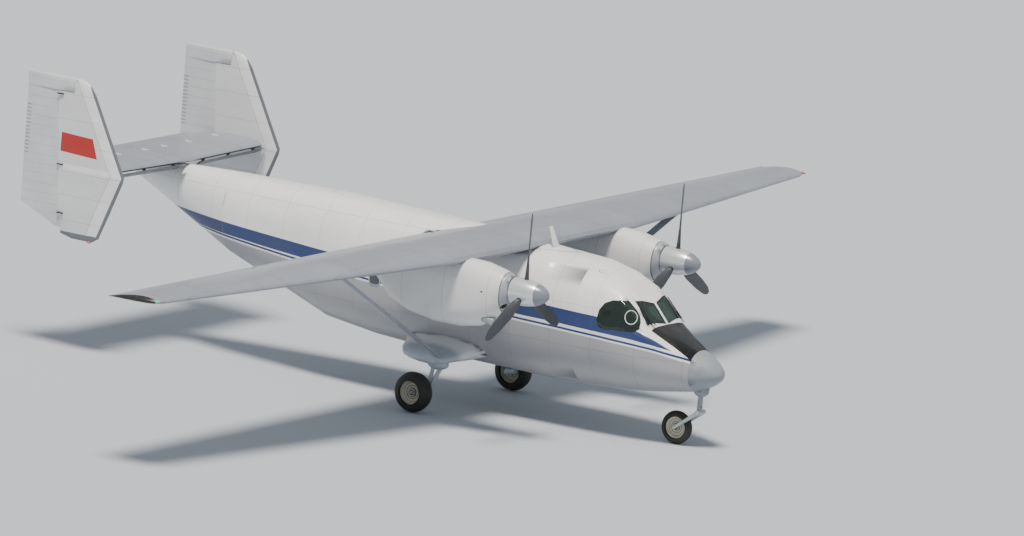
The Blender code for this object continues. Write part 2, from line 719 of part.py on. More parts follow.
def spinner_profile():
    nose = SPINNER_TIP_X - SPINNER_SHOULDER_X
    inner_nose = nose - 2 * SPINNER_WALL
    inner = SPINNER_RADIUS - 2 * SPINNER_WALL
    angles = [math.pi / 2 * i / 6 for i in range(7)]
    outer_curve = [(SPINNER_RADIUS * math.sin(a), SPINNER_SHOULDER_X + nose * math.cos(a)) for a in angles]
    inner_angles = [math.pi / 2 * i / 3 for i in (3, 2, 1, 0)]
    inner_curve = [(inner * math.sin(a), SPINNER_SHOULDER_X + inner_nose * math.cos(a)) for a in inner_angles]
    outer_curve[0] = (0, SPINNER_TIP_X)
    inner_curve[-1] = (0, SPINNER_SHOULDER_X + inner_nose)
    bore = HUB_RADIUS + HUB_CLEARANCE
    back = [
        (SPINNER_RADIUS, SPINNER_BACK_X),
        (bore, SPINNER_BACK_X),
        (bore, SPINNER_BACK_X + BACKPLATE),
        (inner, SPINNER_BACK_X + BACKPLATE),
    ]
    return outer_curve + back + inner_curve


def blade_mesh(centre, turn):
    """One blade, standing out along +Z before it is turned about the propeller's axis."""
    rings = []
    for radius, chord, thickness, pitch in BLADE:
        lean = Matrix.Rotation(math.radians(pitch), 4, "Z")
        ring = []
        for i in range(BLADE_SECTION_POINTS):
            angle = 2 * math.pi * i / BLADE_SECTION_POINTS
            flat = Vector((thickness / 2 * math.sin(angle), chord / 2 * math.cos(angle), 0))
            ring.append(tuple(lean @ flat + Vector((0, 0, radius))))
        rings.append(ring)
    mesh = loft("blade", rings)
    mesh.transform(Matrix.Translation(centre) @ Matrix.Rotation(turn, 4, "X"))
    return mesh


for label, side in SIDES:
    centre = Vector((PROP_X, side * PROP_Y, PROP_Z))
    axle = Vector((0, centre.y, centre.z))
    shell = turned("spinner_" + label, spinner_profile(), axle, (1, 0, 0), 24)
    spinner = part("spinner_" + label, shell, STEEL, pivot=centre)
    hub_back, hub_front = centre - Vector((0.21, 0, 0)), centre + Vector((0.12, 0, 0))
    hub = rod("propeller_" + label, hub_back, hub_front, HUB_RADIUS, sides=16)
    propeller = part("propeller_" + label, hub, DARK, pivot=centre)
    shaft_back, shaft_front = centre - Vector((0.48, 0, 0)), centre - Vector((0.15, 0, 0))
    shaft = rod("shaft", shaft_back, shaft_front, SHAFT_RADIUS, sides=16)
    join(propeller, tool("shaft_" + label, shaft))
    for i in range(BLADES):
        turn = 2 * math.pi * i / BLADES
        name = "%s_%d" % (label, i + 1)
        join(propeller, tool("blade_" + name, blade_mesh(centre, turn)))
        out = Matrix.Rotation(turn, 4, "X") @ Vector((0, 0, 1))
        socket = rod("socket", centre + out * 0.15, centre + out * 0.40, SHANK_RADIUS + 0.012, sides=12)
        cut(spinner, tool("socket_" + name, socket))

# Tailplane with its fixed slats, and the elevators
TAIL_TE_X = -7.60
TAIL_Z = 3.335
TAIL_TIP_Y = 2.517
ELEVATOR_CHORD = 0.456
ELEVATOR = (0.156, 2.44)
tail = Surface(
    ((0.0, -5.97, TAIL_TE_X, TAIL_Z), (TAIL_TIP_Y, -6.08, TAIL_TE_X, TAIL_Z)),
    thickness=0.12,
    camber=0.0,
    incidence=0.0,
)
tail_sections = [on_side(tail.ring(abs(y)), 1 if y > 0 else -1) for y in (-TAIL_TIP_Y, -0.1, 0.1, TAIL_TIP_Y)]
tailplane = part("tailplane", loft("tailplane", tail_sections), GREY)
# The tailplane is a hollow box, open at both ends, which the fins close
TAIL_SKIN, FIN_SKIN = 0.025, 0.016
core_spans = ((2.7, -1), (0.0, -1), (2.7, 1))
core_sections = [on_side(tail.core_ring(span, 0.09, 0.64, TAIL_SKIN), side) for span, side in core_spans]
tail_core = tool("tail_core", loft("tail_core", core_sections))
cut(tailplane, tail_core)
saddle_rings = [[(x, y, z) for x, _, z in tail.ring(0.0, 0.002)] for y in (-0.6, 0.6)]
tail_saddle = tool("tail_saddle", loft("tail_saddle", saddle_rings))
cut(tail_cone, tail_saddle)
# The slat's two edges: ahead of and behind the tailplane's leading edge, and how far the rear one drops
SLAT_FORWARD, SLAT_AFT, SLAT_DROP = 0.10, 0.12, 0.135
SLAT_SPAN = (0.30, 2.49)
SLAT_THICK, SLAT_TOP = 0.028, -0.02
SLAT_RIB_SPANS, SLAT_RIB_HALF_WIDTH = (0.5, 1.4, 2.3), 0.01
# What is cut off the elevators' outer ends, as (x, y), so that the rudders can swing inboard
ELEVATOR_RAKE = ((-7.15, 2.46), (-7.62, 2.30), (-7.8, 2.30), (-7.8, 2.7), (-7.0, 2.7))
for label, side in SIDES:
    chords = (ELEVATOR_CHORD, ELEVATOR_CHORD)
    bay_spans = (ELEVATOR[0] - END_GAP, TAIL_TIP_Y + 0.2)
    cut(tailplane, bay("bay_elevator_" + label, tail, bay_spans, chords, side), solver="MANIFOLD")
    elevator = flap("elevator_" + label, tail, ELEVATOR, chords, GREY, side)
    rake = mirrored(ELEVATOR_RAKE, side)
    cut(elevator, tool("elevator_rake_" + label, prism("elevator_rake", rake, "Z", 3.0, 3.7)))
    rings = []
    for span in SLAT_SPAN:
        front, _, height = tail.at(span)
        top = Vector((front + SLAT_FORWARD, side * span, height + SLAT_TOP))
        low = Vector((front - SLAT_AFT, side * span, height + SLAT_TOP - SLAT_DROP))
        middle = top.lerp(low, 0.5)
        along = (low - top).normalized()
        off = Vector((along.z, 0, -along.x)) * SLAT_THICK
        rings.append([tuple(point) for point in (top, middle + off, low, middle - off * 0.3)])
    slat = part("tailplane_slat_" + label, loft("slat", rings), DARK)
    for span in SLAT_RIB_SPANS:
        front, _, height = tail.at(span)
        inner, outer = side * span - SLAT_RIB_HALF_WIDTH, side * span + SLAT_RIB_HALF_WIDTH
        rib = box("slat_rib", (front - 0.09, inner, height - 0.12), (front - 0.03, outer, height + SLAT_TOP))
        join(slat, tool("slat_rib_%s_%d" % (label, round(span * 10)), rib))
    slat_cut = loft("slat_cut", [on_side(tail.ring(span, TOUCH_GAP), side) for span in (0.1, TAIL_TIP_Y)])
    cut(slat, tool("slat_cut_" + label, slat_cut))

# Fins and rudders: upright surfaces at the tailplane's tips
FIN_Y = 2.60
FIN_THICKNESS = 0.075
HORN_FOOT_Z, HORN_FRONT_X = 4.66, -6.90
# z, leading edge x, trailing edge x
FIN_OUTLINE = (
    (2.06, -6.30, -6.72),
    (2.14, -6.17, -7.05),
    (2.57, -6.00, TAIL_X + 0.045),
    (3.20, -5.765, TAIL_X + 0.035),
    (3.31, -5.745, TAIL_X + 0.03),
    (4.66, -6.46, TAIL_X + 0.005),
    (4.79, -6.56, TAIL_X),
    (4.88, -6.69, TAIL_X + 0.002),
    (FIN_TOP_Z, -6.86, TAIL_X + 0.02),
)
HINGE_LEAN = (-7.24 - -7.02) / (4.66 - 2.21)


def hinge_x(z):
    return -7.02 + (z - 2.21) * HINGE_LEAN


# z, rear x, radius of the round nose about the hinge line
RUDDER_ROWS = (
    (2.225, -7.06, 0.034),
    (2.57, TAIL_X + 0.045, 0.046),
    (3.25, TAIL_X + 0.033, 0.048),
    (HORN_FOOT_Z + 0.03, TAIL_X + 0.005, 0.036),
)
# z and share of the thickness of the horn, the balance ahead of the hinge line at the rudder's top
HORN_ROWS = ((HORN_FOOT_Z, 1.0), (4.79, 1.0), (4.88, 0.8), (FIN_TOP_Z, 0.35))
HORN_HALF_THICK, HORN_GAP = 0.048, 0.012
TAIL_EDGE_HALF = 0.003
RUDDER_BAY_FOOT_Z, RUDDER_BAY_BACK = 1.9, 1.1
FIN_CORE_HEIGHTS = (2.45, 3.20, 3.31, 4.40)
# The opening in the fin's inner face, inside the tailplane's end: x and z ranges
HAND_HOLE = ((-6.75, -6.25), (3.30, 3.37))

for label, side in SIDES:
    y = side * FIN_Y
    rows = tuple((z, front, back, y) for z, front, back in FIN_OUTLINE)
    fin_surface = Surface(rows, thickness=FIN_THICKNESS, camber=0.0, incidence=0.0, upright=True)
    fin = part("fin_" + label, loft("fin", [fin_surface.ring(row[0]) for row in rows]), WHITE)
    bay_rings = []
    for z, _, nose in ((RUDDER_BAY_FOOT_Z, 0.0, RUDDER_ROWS[0][2]), *RUDDER_ROWS):
        outline = cove_outline(nose + COVE_GAP, -RUDDER_BAY_BACK, 0.3)
        bay_rings.append([(hinge_x(z) + forward, y + out, z) for forward, out in outline])
    cut(fin, tool("bay_rudder_" + label, loft("bay_rudder", bay_rings)))
    core = loft("fin_core", [fin_surface.core_ring(z, 0.10, 0.62, FIN_SKIN) for z in FIN_CORE_HEIGHTS])
    fin_core = tool("fin_core_" + label, core)
    (back, front), (low, high) = HAND_HOLE
    inboard, outboard = sorted((y, y - side * 0.2))
    hand_hole = tool("hand_hole_" + label, box("hand_hole", (back, inboard, low), (front, outboard, high)))
    cut(fin, fin_core, hand_hole)
    horn_low = (-8.2, y - 0.3, HORN_FOOT_Z - HORN_GAP)
    horn_high = (HORN_FRONT_X + HORN_GAP, y + 0.3, 5.2)
    cut(fin, tool("horn_room_" + label, box("horn_room", horn_low, horn_high)))
    rings = []
    for z, back, nose in RUDDER_ROWS:
        middle = Vector((hinge_x(z), y, z))
        ring = []
        for i in range(9):
            angle = math.pi / 2 - math.pi * i / 8
            ring.append(tuple(middle + Vector((nose * math.cos(angle), nose * math.sin(angle), 0))))
        tail_x = min(back, middle.x - 0.06)
        ring += [(tail_x, y - TAIL_EDGE_HALF, z), (tail_x, y + TAIL_EDGE_HALF, z)]
        rings.append(ring)
    pivot = (hinge_x(2.21), y, 2.21)
    rudder = part("rudder_" + label, loft("rudder", rings), WHITE, pivot=pivot)
    horn_rings = []
    for z, share in HORN_ROWS:
        back = fin_surface.at(z)[1]
        front = min(HORN_FRONT_X, fin_surface.at(z)[0] - 0.02)
        thick = HORN_HALF_THICK * share
        outline = ((back, TAIL_EDGE_HALF), (-7.30, thick), (-7.05, thick), (front, thick * 0.8))
        far_side = [(x, y + out, z) for x, out in outline]
        near_side = [(x, y - out, z) for x, out in reversed(outline)]
        horn_rings.append(far_side + near_side)
    join(rudder, tool("rudder_horn_" + label, loft("rudder_horn", horn_rings)))

# Stub wings and bracing struts
# y, front x, rear x, top z, bottom z
STUB = (
    (0.55, 0.88, -0.92, 1.32, 0.88),
    (0.92, 0.74, -0.70, 1.26, 0.87),
    (1.15, 0.60, -0.64, 1.18, 0.86),
    (1.36, 0.52, -0.50, 1.11, 0.84),
    (1.47, 0.46, -0.30, 1.07, 0.85),
    (1.53, 0.36, -0.05, 1.02, 0.89),
)
STRUT_FOOT = Vector((0.30, 1.40, 0.98))
STRUT_HEAD = Vector((0.74, 5.82, 2.98))
STRUT_CHORD, STRUT_THICK = 0.17, 0.062


def stub_loft(name, side, grow=0.0):
    rings = []
    for y, front, rear, top, bottom in STUB:
        ring = []
        for i in range(16):
            angle = 2 * math.pi * i / 16
            across = power(math.cos(angle), 2.2)
            middle_x, middle_z = (front + rear) / 2, (top + bottom) / 2
            nose_share = 1.0 if across > 0 else 0.9
            x = middle_x + ((front - rear) / 2 + grow) * across
            z = middle_z + ((top - bottom) / 2 * nose_share + grow) * power(math.sin(angle), 2.2)
            ring.append((x, side * y, z))
        rings.append(ring)
    return loft(name, rings)


def strut_ring(middle, along):
    """A streamlined section square to the strut."""
    forward = Vector((1, 0, 0))
    forward = (forward - along * forward.dot(along)).normalized()
    up = along.cross(forward)
    ring = []
    for i in range(14):
        angle = 2 * math.pi * i / 14
        share = math.cos(angle)
        thin = STRUT_THICK / 2 * math.sin(angle) * (1 if share > 0 else 1 + share * 0.35)
        ring.append(tuple(middle + forward * (STRUT_CHORD / 2 * share) + up * thin))
    return ring


fuselage_outer = tool("fuselage_outer", fuselage_loft("fuselage_outer", 4.9, -4.0, TOUCH_GAP))
for label, side in SIDES:
    stub = part("stub_wing_" + label, stub_loft("stub_wing", side), WHITE)
    lobe = ball("leg_lobe", (0.25, side * 1.36, 0.87), (0.21, 0.15, 0.11), 14, 8)
    join(stub, tool("leg_lobe_" + label, lobe))
    cut(stub, fuselage_outer)
    foot, head = (Vector((v.x, side * v.y, v.z)) for v in (STRUT_FOOT, STRUT_HEAD))
    along = (head - foot).normalized()
    strut_body = loft("strut", [strut_ring(end, along) for end in (foot, head)])
    strut = part("strut_" + label, strut_body, GREY)
    cut(strut, tool("stub_room_" + label, stub_loft("stub_room", side, TOUCH_GAP)))
    wing_room = loft("wing_room", [on_side(wing.ring(span, TOUCH_GAP), side) for span in (WING_JOINT_Y, TIP_Y)])
    cut(strut, tool("wing_room_" + label, wing_room))


# Wheels
def tyre_profile(radius, width, bead):
    """Half-round tread over flat beads, as (radius, place across)."""
    half = width / 2
    shoulder = radius - half * 0.95
    tread = []
    for i in range(7):
        angle = math.pi * i / 6
        tread.append((shoulder + (radius - shoulder) * math.sin(angle), half * math.cos(angle)))
    near_bead = [(bead, half * 0.62), (bead + 0.02, half * 0.86)]
    far_bead = [(radius, -across) for radius, across in reversed(near_bead)]
    return near_bead + tread + far_bead


def rim_profile(bead, width, bore):
    """Rim with a flange at both edges and a dished disc down to the hub."""
    half = width / 2 * 0.60
    near = [
        (bore, half * 0.75),
        (bore + 0.035, half * 0.75),
        (bore + 0.045, half * 0.35),
        (bead - 0.035, half * 0.25),
        (bead - 0.022, half),
        (bead - TOUCH_GAP, half),
    ]
    return near + [(radius, -across) for radius, across in reversed(near)]


MAIN_AXLE_RADIUS, NOSE_AXLE_RADIUS, BEARING_GAP = 0.036, 0.024, 0.002
MAIN_BEAD, NOSE_BEAD = 0.215, 0.19
WHEEL_STEPS = 28


def wheel(name, middle, width, bead, axle_radius):
    """A tyre and its rim about an axle across the aircraft, standing on the ground."""
    tyre_outline = tyre_profile(middle[2], width, bead)
    tyre = turned(name + "_tyre", tyre_outline, middle, (0, 1, 0), WHEEL_STEPS)
    part(name + "_tyre", tyre, RUBBER, pivot=middle)
    rim_outline = rim_profile(bead, width, axle_radius + BEARING_GAP)
    rim = turned(name + "_rim", rim_outline, middle, (0, 1, 0), WHEEL_STEPS)
    part(name + "_rim", rim, HUB_WHITE, pivot=middle)


for label, side in SIDES:
    middle = (0, side * HALF_TRACK, MAIN_TYRE_RADIUS)
    wheel("main_wheel_" + label, middle, MAIN_TYRE_WIDTH, MAIN_BEAD, MAIN_AXLE_RADIUS)
wheel("nose_wheel", (WHEELBASE, 0, NOSE_TYRE_RADIUS), NOSE_TYRE_WIDTH, NOSE_BEAD, NOSE_AXLE_RADIUS)

# Main legs: a trailing arm from the stub wing's lobe to the axle, with its shock absorber
for label, side in SIDES:
    axle_in, axle_out = 1.47, HALF_TRACK + 0.09
    z = MAIN_TYRE_RADIUS
    axle = rod("main_leg", (0, side * axle_in, z), (0, side * axle_out, z), MAIN_AXLE_RADIUS)
    leg = part("main_leg_" + label, axle, STEEL)
    post = rod("post", (0.17, side * 1.36, 0.88), (0.15, side * 1.48, 0.40), 0.036)
    brace = rod("brace", (0.34, side * 1.36, 0.87), (0.17, side * 1.48, 0.395), 0.042, 0.034)
    arm = rod("arm", (0.19, side * 1.48, 0.40), (-0.005, side * 1.48, 0.36), 0.052, 0.044)
    knuckle = ball("knuckle", (0, side * 1.485, z), (0.06, 0.045, 0.06), 12, 6)
    for name, mesh in (("post", post), ("brace", brace), ("arm", arm), ("knuckle", knuckle)):
        join(leg, tool("leg_%s_%s" % (name, label), mesh))
    leg_room = stub_loft("leg_room", side, TOUCH_GAP)
    lobe_room = ball("lobe_room", (0.25, side * 1.36, 0.87), (0.2107, 0.1507, 0.1107), 14, 8)
    cut(leg, tool("leg_room_" + label, leg_room), tool("lobe_room_" + label, lobe_room))

# Nose gear: a fixed leg in its fairing, and the steered fork with its trailing arms
STEER_X = 4.80
FORK_TOP_Z = 0.735
FORK_Y = NOSE_TYRE_WIDTH / 2 + 0.035
# z, half length and half width of the fairing's sections
NOSE_FAIRING = ((1.25, 0.17, 0.11), (0.98, 0.15, 0.10), (0.925, 0.09, 0.075))
fairing_rings = []
for z, long, wide in NOSE_FAIRING:
    angles = [2 * math.pi * i / 16 for i in range(16)]
    fairing_rings.append([(STEER_X + long * math.cos(a), wide * math.sin(a), z) for a in angles])
nose_leg = part("nose_leg", loft("nose_leg", fairing_rings), GREY)
nose_column = rod("nose_column", (STEER_X, 0, 1.1), (STEER_X, 0, FORK_TOP_Z + MOVE_GAP), 0.048)
join(nose_leg, tool("nose_column", nose_column))
nose_room_rings = [fuselage_ring(row, TOUCH_GAP) for row in fuselage_span(5.10, 4.2)]
nose_room = tool("nose_room", loft("nose_room", nose_room_rings))
cut(nose_leg, nose_room)

fork = part(
    "nose_fork",
    rod("nose_fork", (STEER_X, 0, FORK_TOP_Z), (STEER_X, 0, 0.60), 0.052),
    STEEL,
    pivot=(STEER_X, 0, FORK_TOP_Z),
)
crosshead = rod("crosshead", (STEER_X + 0.02, -FORK_Y, 0.63), (STEER_X + 0.02, FORK_Y, 0.63), 0.042)
nose_axle = rod(
    "nose_axle",
    (WHEELBASE, -FORK_Y - 0.02, NOSE_TYRE_RADIUS),
    (WHEELBASE, FORK_Y + 0.02, NOSE_TYRE_RADIUS),
    NOSE_AXLE_RADIUS,
)
join(fork, tool("crosshead", crosshead), tool("nose_axle", nose_axle))
for label, side in SIDES:
    arm_head = (STEER_X + 0.02, side * FORK_Y, 0.63)
    arm_foot = (WHEELBASE, side * FORK_Y, NOSE_TYRE_RADIUS)
    join(fork, tool("fork_arm_" + label, rod("fork_arm", arm_head, arm_foot, 0.038, 0.026)))
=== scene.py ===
"""Turboprop airliner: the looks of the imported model. Metres, nose along +X, up +Z, the ground at Z 0."""
import json
import math

import bpy
from mathutils import Matrix, Vector


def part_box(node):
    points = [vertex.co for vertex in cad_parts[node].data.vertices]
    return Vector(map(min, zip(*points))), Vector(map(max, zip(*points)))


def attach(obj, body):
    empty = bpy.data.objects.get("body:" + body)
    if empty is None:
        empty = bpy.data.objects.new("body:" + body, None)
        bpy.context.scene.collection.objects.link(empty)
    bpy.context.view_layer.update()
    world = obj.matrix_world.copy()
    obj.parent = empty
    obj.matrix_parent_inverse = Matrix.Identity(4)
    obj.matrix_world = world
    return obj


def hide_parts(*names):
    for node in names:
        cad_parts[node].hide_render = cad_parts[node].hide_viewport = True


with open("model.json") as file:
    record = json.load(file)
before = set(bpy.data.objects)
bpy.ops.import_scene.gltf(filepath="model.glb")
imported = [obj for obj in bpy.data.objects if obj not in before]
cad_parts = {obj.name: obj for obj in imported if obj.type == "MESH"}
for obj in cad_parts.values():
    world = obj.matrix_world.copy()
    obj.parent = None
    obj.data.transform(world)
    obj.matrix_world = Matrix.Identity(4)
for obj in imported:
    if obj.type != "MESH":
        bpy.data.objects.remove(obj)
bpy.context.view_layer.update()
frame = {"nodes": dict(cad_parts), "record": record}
bpy.ops.object.select_all(action="DESELECT")

# Fuselage
# Riveted aluminium sheet on frames, in four shells and two clamshell doors, sprayed with gloss enamel:
# white above, a blue band and a thin blue line along the side, pale grey below that is darkened as painted
# shade on the lower side, and a black anti-glare panel ahead of the windscreen. Each shell is the CAD piece
# with its triangles joined.
BODY_OF = {}
for body_name, node_names in frame["record"]["behaviour"]["bodies"].items():
    for node_name in node_names:
        BODY_OF[node_name] = body_name


def tint(code):
    """An sRGB hex colour as the linear colour that a shader takes."""
    parts = [int(code[i:i + 2], 16) / 255 for i in (0, 2, 4)]
    linear = [p / 12.92 if p <= 0.04045 else ((p + 0.055) / 1.055) ** 2.4 for p in parts]
    return (*linear, 1.0)


SIDES = (("left", 1), ("right", -1))


def mirrored(place, side):
    """A place on the port side, or its mirror image to starboard."""
    return Vector((place[0], side * place[1], place[2]))


def add(tree, kind, settings=None, links=None):
    """Adds a shader node, sets its properties and inputs, and links other nodes' outputs to it."""
    node = tree.nodes.new("ShaderNode" + kind)
    for key, value in (settings or {}).items():
        if isinstance(key, str) and hasattr(node, key):
            setattr(node, key, value)
        else:
            node.inputs[key].default_value = value
    for key, source in (links or {}).items():
        tree.links.new(source, node.inputs[key])
    return node


def start_finish(name):
    """A new material, its shader, and the object's own x, y and z as outputs."""
    finish = bpy.data.materials.new(name)
    finish.use_nodes = True
    tree = finish.node_tree
    place = add(tree, "TexCoord").outputs["Object"]
    axes = add(tree, "SeparateXYZ", {}, {0: place})
    return finish, tree, tree.nodes["Principled BSDF"], place, axes.outputs


def mottled_finish(name, first, second, scale, detail, rough=0.5):
    """A finish that drifts between two colours with a cloudy noise, which is handed back with it."""
    finish, tree, shader, place, axes = start_finish(name)
    clouds = add(tree, "TexNoise", {"Scale": scale, "Detail": detail}, {"Vector": place}).outputs[0]
    tones = {"data_type": "RGBA", 6: tint(first), 7: tint(second)}
    tree.links.new(add(tree, "Mix", tones, {0: clouds}).outputs[2], shader.inputs["Base Color"])
    shader.inputs["Roughness"].default_value = rough
    return finish, tree, shader, place, axes, clouds


def repeated_lines(tree, along, pitch, width, start):
    """One on lines of that width every pitch metres along an axis, zero between them."""
    moved = add(tree, "Math", {"operation": "SUBTRACT", 1: start}, {0: along}).outputs[0]
    place = add(tree, "Math", {"operation": "FLOORED_MODULO", 1: pitch}, {0: moved}).outputs[0]
    return add(tree, "Math", {"operation": "LESS_THAN", 1: width}, {0: place}).outputs[0]


SEAM_WIDTH = 0.007


def sheet_enamel(name, ground, seams, gloss=0.28, grime=0.16):
    """Enamel on riveted sheet: lap seams as fine dark lines, slow waves, and grime drawn out by the airflow.

    ground gives the paint's colour from (tree, x, y, z); seams has (axis, pitch, start) rows in metres.
    """
    finish, tree, shader, place, axes = start_finish(name)
    colour = ground(tree, *axes)
    lines = None
    for axis, pitch, start in seams:
        line = repeated_lines(tree, axes["XYZ".index(axis)], pitch, SEAM_WIDTH, start)
        if lines is None:
            lines = line
        else:
            lines = add(tree, "Math", {"operation": "MAXIMUM"}, {0: lines, 1: line}).outputs[0]
    drawn = add(tree, "Mapping", {"Scale": (0.45, 1.6, 1.6)}, {"Vector": place}).outputs[0]
    streaks = add(tree, "TexNoise", {"Scale": 1.7, "Detail": 7.0, "Roughness": 0.62}, {"Vector": drawn})
    amount = add(
        tree, "MapRange", {"From Min": 0.42, "From Max": 0.78, "To Max": grime}, {"Value": streaks.outputs[0]}
    )
    colour = add(
        tree, "Mix", {"data_type": "RGBA", 7: tint("6E6A63")}, {0: amount.outputs[0], 6: colour}
    ).outputs[2]
    if lines is not None:
        seam_share = add(tree, "Math", {"operation": "MULTIPLY", 1: 0.42}, {0: lines}).outputs[0]
        colour = add(
            tree, "Mix", {"data_type": "RGBA", 7: tint("4A4C50")}, {0: seam_share, 6: colour}
        ).outputs[2]
    tree.links.new(colour, shader.inputs["Base Color"])
    specks = add(tree, "TexNoise", {"Scale": 26.0, "Detail": 4.0}, {"Vector": place}).outputs[0]
    rough = add(
        tree, "MapRange", {"From Min": 0.3, "From Max": 0.7, "To Min": gloss, "To Max": gloss + 0.16},
        {"Value": specks}
    )
    tree.links.new(rough.outputs[0], shader.inputs["Roughness"])
    waves = add(tree, "TexNoise", {"Scale": 2.4, "Detail": 1.5}, {"Vector": place}).outputs[0]
    height = waves
    if lines is not None:
        height = add(tree, "Math", {"operation": "MULTIPLY_ADD", 1: -0.5}, {0: lines, 2: waves}).outputs[0]
    bump = add(tree, "Bump", {"Strength": 0.22, "Distance": 0.006}, {"Height": height})
    tree.links.new(bump.outputs[0], shader.inputs["Normal"])
    shader.inputs["Coat Weight"].default_value = 0.25
    shader.inputs["Coat Roughness"].default_value = 0.12
    return finish


# The lining's faces look towards a line along the body, which falls away in the nose, or straight along it
LINED_ABOUT_Z, NOSE_FALLS_FROM_X, NOSE_FALL, ALONG_BODY = 1.95, 4.4, 0.36, 0.95


def skin(node, finish, crease=32, lining=None):
    """The CAD piece with its loose triangles joined and smoothed between creases, in a finish.

    lining is the finish of the faces that look inwards, on a hollow piece.
    """
    piece = bpy.data.objects.new(node + "_skin", frame["nodes"][node].data.copy())
    bpy.context.collection.objects.link(piece)
    bpy.context.view_layer.objects.active = piece
    piece.select_set(True)
    bpy.ops.object.mode_set(mode="EDIT")
    bpy.ops.mesh.select_all(action="SELECT")
    bpy.ops.mesh.remove_doubles(threshold=0.00002)
    bpy.ops.object.mode_set(mode="OBJECT")
    bpy.ops.object.shade_smooth_by_angle(angle=math.radians(crease))
    even = piece.modifiers.new("even", "WEIGHTED_NORMAL")
    even.keep_sharp = True
    even.weight = 60
    bpy.ops.object.modifier_apply(modifier=even.name)
    piece.data.materials.clear()
    piece.data.materials.append(finish)
    if lining is not None:
        piece.data.materials.append(lining)
        for face in piece.data.polygons:
            line_z = LINED_ABOUT_Z - NOSE_FALL * max(0, face.center.x - NOSE_FALLS_FROM_X)
            outwards = Vector((0, face.center.y, face.center.z - line_z))
            if face.normal.dot(outwards) < 0 or abs(face.normal.x) > ALONG_BODY:
                face.material_index = 1
    piece.select_set(False)
    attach(piece, BODY_OF[node])
    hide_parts(node)
    return piece


# x and z of the blue band's edges and of the thin line below it, on the side of the body
BAND_TOP = (
    (-6.9, 2.60), (-4.61, 2.512), (-3.17, 2.432), (-1.17, 2.348), (3.38, 2.181), (4.40, 2.144), (4.90, 2.08),
    (5.20, 1.978), (5.48, 1.858), (5.77, 1.708), (6.6, 1.28),
)
BAND_FOOT = (
    (-6.9, 2.36), (-4.02, 2.266), (-2.56, 2.178), (2.92, 1.925), (3.63, 1.915), (4.43, 1.879), (5.05, 1.84),
    (5.42, 1.784), (5.77, 1.708), (6.6, 1.50),
)
LINE = (
    (-6.9, 2.36), (-3.96, 2.237), (-3.17, 2.180), (-2.05, 2.105), (2.92, 1.856), (3.74, 1.835), (4.48, 1.803),
    (5.0, 1.762), (5.45, 1.714), (5.92, 1.617), (6.6, 1.47),
)
LINE_HALF_WIDTH = 0.019
WHITE_BELOW_LINE = 0.052
CURVE_X, CURVE_Z = (-7.0, 7.0), (1.0, 3.0)

# The black panel: x and half-width at its rear and front corners, and where it starts
PANEL_REAR, PANEL_FRONT = (5.37, 0.555), (6.03, 0.37)
PANEL_FROM_X, PANEL_FROM_Z = 5.355, 1.56


def height_along(tree, x, rows):
    """The height z that rows of (x, z) give at each x, straight between the rows."""
    low, high = CURVE_X
    share = add(tree, "MapRange", {"From Min": low, "From Max": high}, {"Value": x}).outputs[0]
    curve = add(tree, "FloatCurve", {}, {"Value": share})
    line = curve.mapping.curves[0]
    points = [((px - low) / (high - low), (pz - CURVE_Z[0]) / (CURVE_Z[1] - CURVE_Z[0])) for px, pz in rows]
    line.points[0].location = points[0]
    line.points[1].location = points[-1]
    for point in points[1:-1]:
        line.points.new(*point)
    for point in line.points:
        point.handle_type = "VECTOR"
    curve.mapping.update()
    return add(
        tree, "MapRange", {"To Min": CURVE_Z[0], "To Max": CURVE_Z[1]}, {"Value": curve.outputs[0]}
    ).outputs[0]


def livery(tree, x, y, z):
    """White over pale grey darkened as painted shade on the lower side, parted by the thin line, with the
    band above it and the black panel in front.
    """
    band_top = height_along(tree, x, BAND_TOP)
    band_foot = height_along(tree, x, BAND_FOOT)
    line = height_along(tree, x, LINE)
    under_top = add(tree, "Math", {"operation": "LESS_THAN"}, {0: z, 1: band_top}).outputs[0]
    over_foot = add(tree, "Math", {"operation": "GREATER_THAN"}, {0: z, 1: band_foot}).outputs[0]
    in_band = add(tree, "Math", {"operation": "MULTIPLY"}, {0: under_top, 1: over_foot}).outputs[0]
    on_line = add(tree, "Math", {"operation": "COMPARE", 2: LINE_HALF_WIDTH}, {0: z, 1: line}).outputs[0]
    blue = add(tree, "Math", {"operation": "MAXIMUM"}, {0: in_band, 1: on_line}).outputs[0]
    lowered = add(tree, "Math", {"operation": "SUBTRACT", 1: WHITE_BELOW_LINE}, {0: line}).outputs[0]
    below = add(tree, "Math", {"operation": "LESS_THAN"}, {0: z, 1: lowered}).outputs[0]
    # The pale grey below the line is darker than the paint itself: painted shade for the downward-facing
    # lower side
    coats_with_lower_shade = {"data_type": "RGBA", 6: tint("F2F3F4"), 7: tint("A4A5AA")}
    white_and_shaded_grey = add(tree, "Mix", coats_with_lower_shade, {0: below}).outputs[2]
    banded = add(tree, "Mix", {"data_type": "RGBA", 7: tint("22386F")}, {0: blue, 6: white_and_shaded_grey}).outputs[2]
    across = add(tree, "Math", {"operation": "ABSOLUTE"}, {0: y}).outputs[0]
    span = dict(zip(("From Min", "To Min", "From Max", "To Max"), PANEL_REAR + PANEL_FRONT))
    edge = add(tree, "MapRange", span, {"Value": x}).outputs[0]
    inside = add(tree, "Math", {"operation": "LESS_THAN"}, {0: across, 1: edge}).outputs[0]
    ahead = add(tree, "Math", {"operation": "GREATER_THAN", 1: PANEL_FROM_X}, {0: x}).outputs[0]
    above = add(tree, "Math", {"operation": "GREATER_THAN", 1: PANEL_FROM_Z}, {0: z}).outputs[0]
    panel = add(tree, "Math", {"operation": "MULTIPLY"}, {0: inside, 1: ahead}).outputs[0]
    panel = add(tree, "Math", {"operation": "MULTIPLY"}, {0: panel, 1: above}).outputs[0]
    return add(tree, "Mix", {"data_type": "RGBA", 7: tint("0B0A0B")}, {0: panel, 6: banded}).outputs[2]


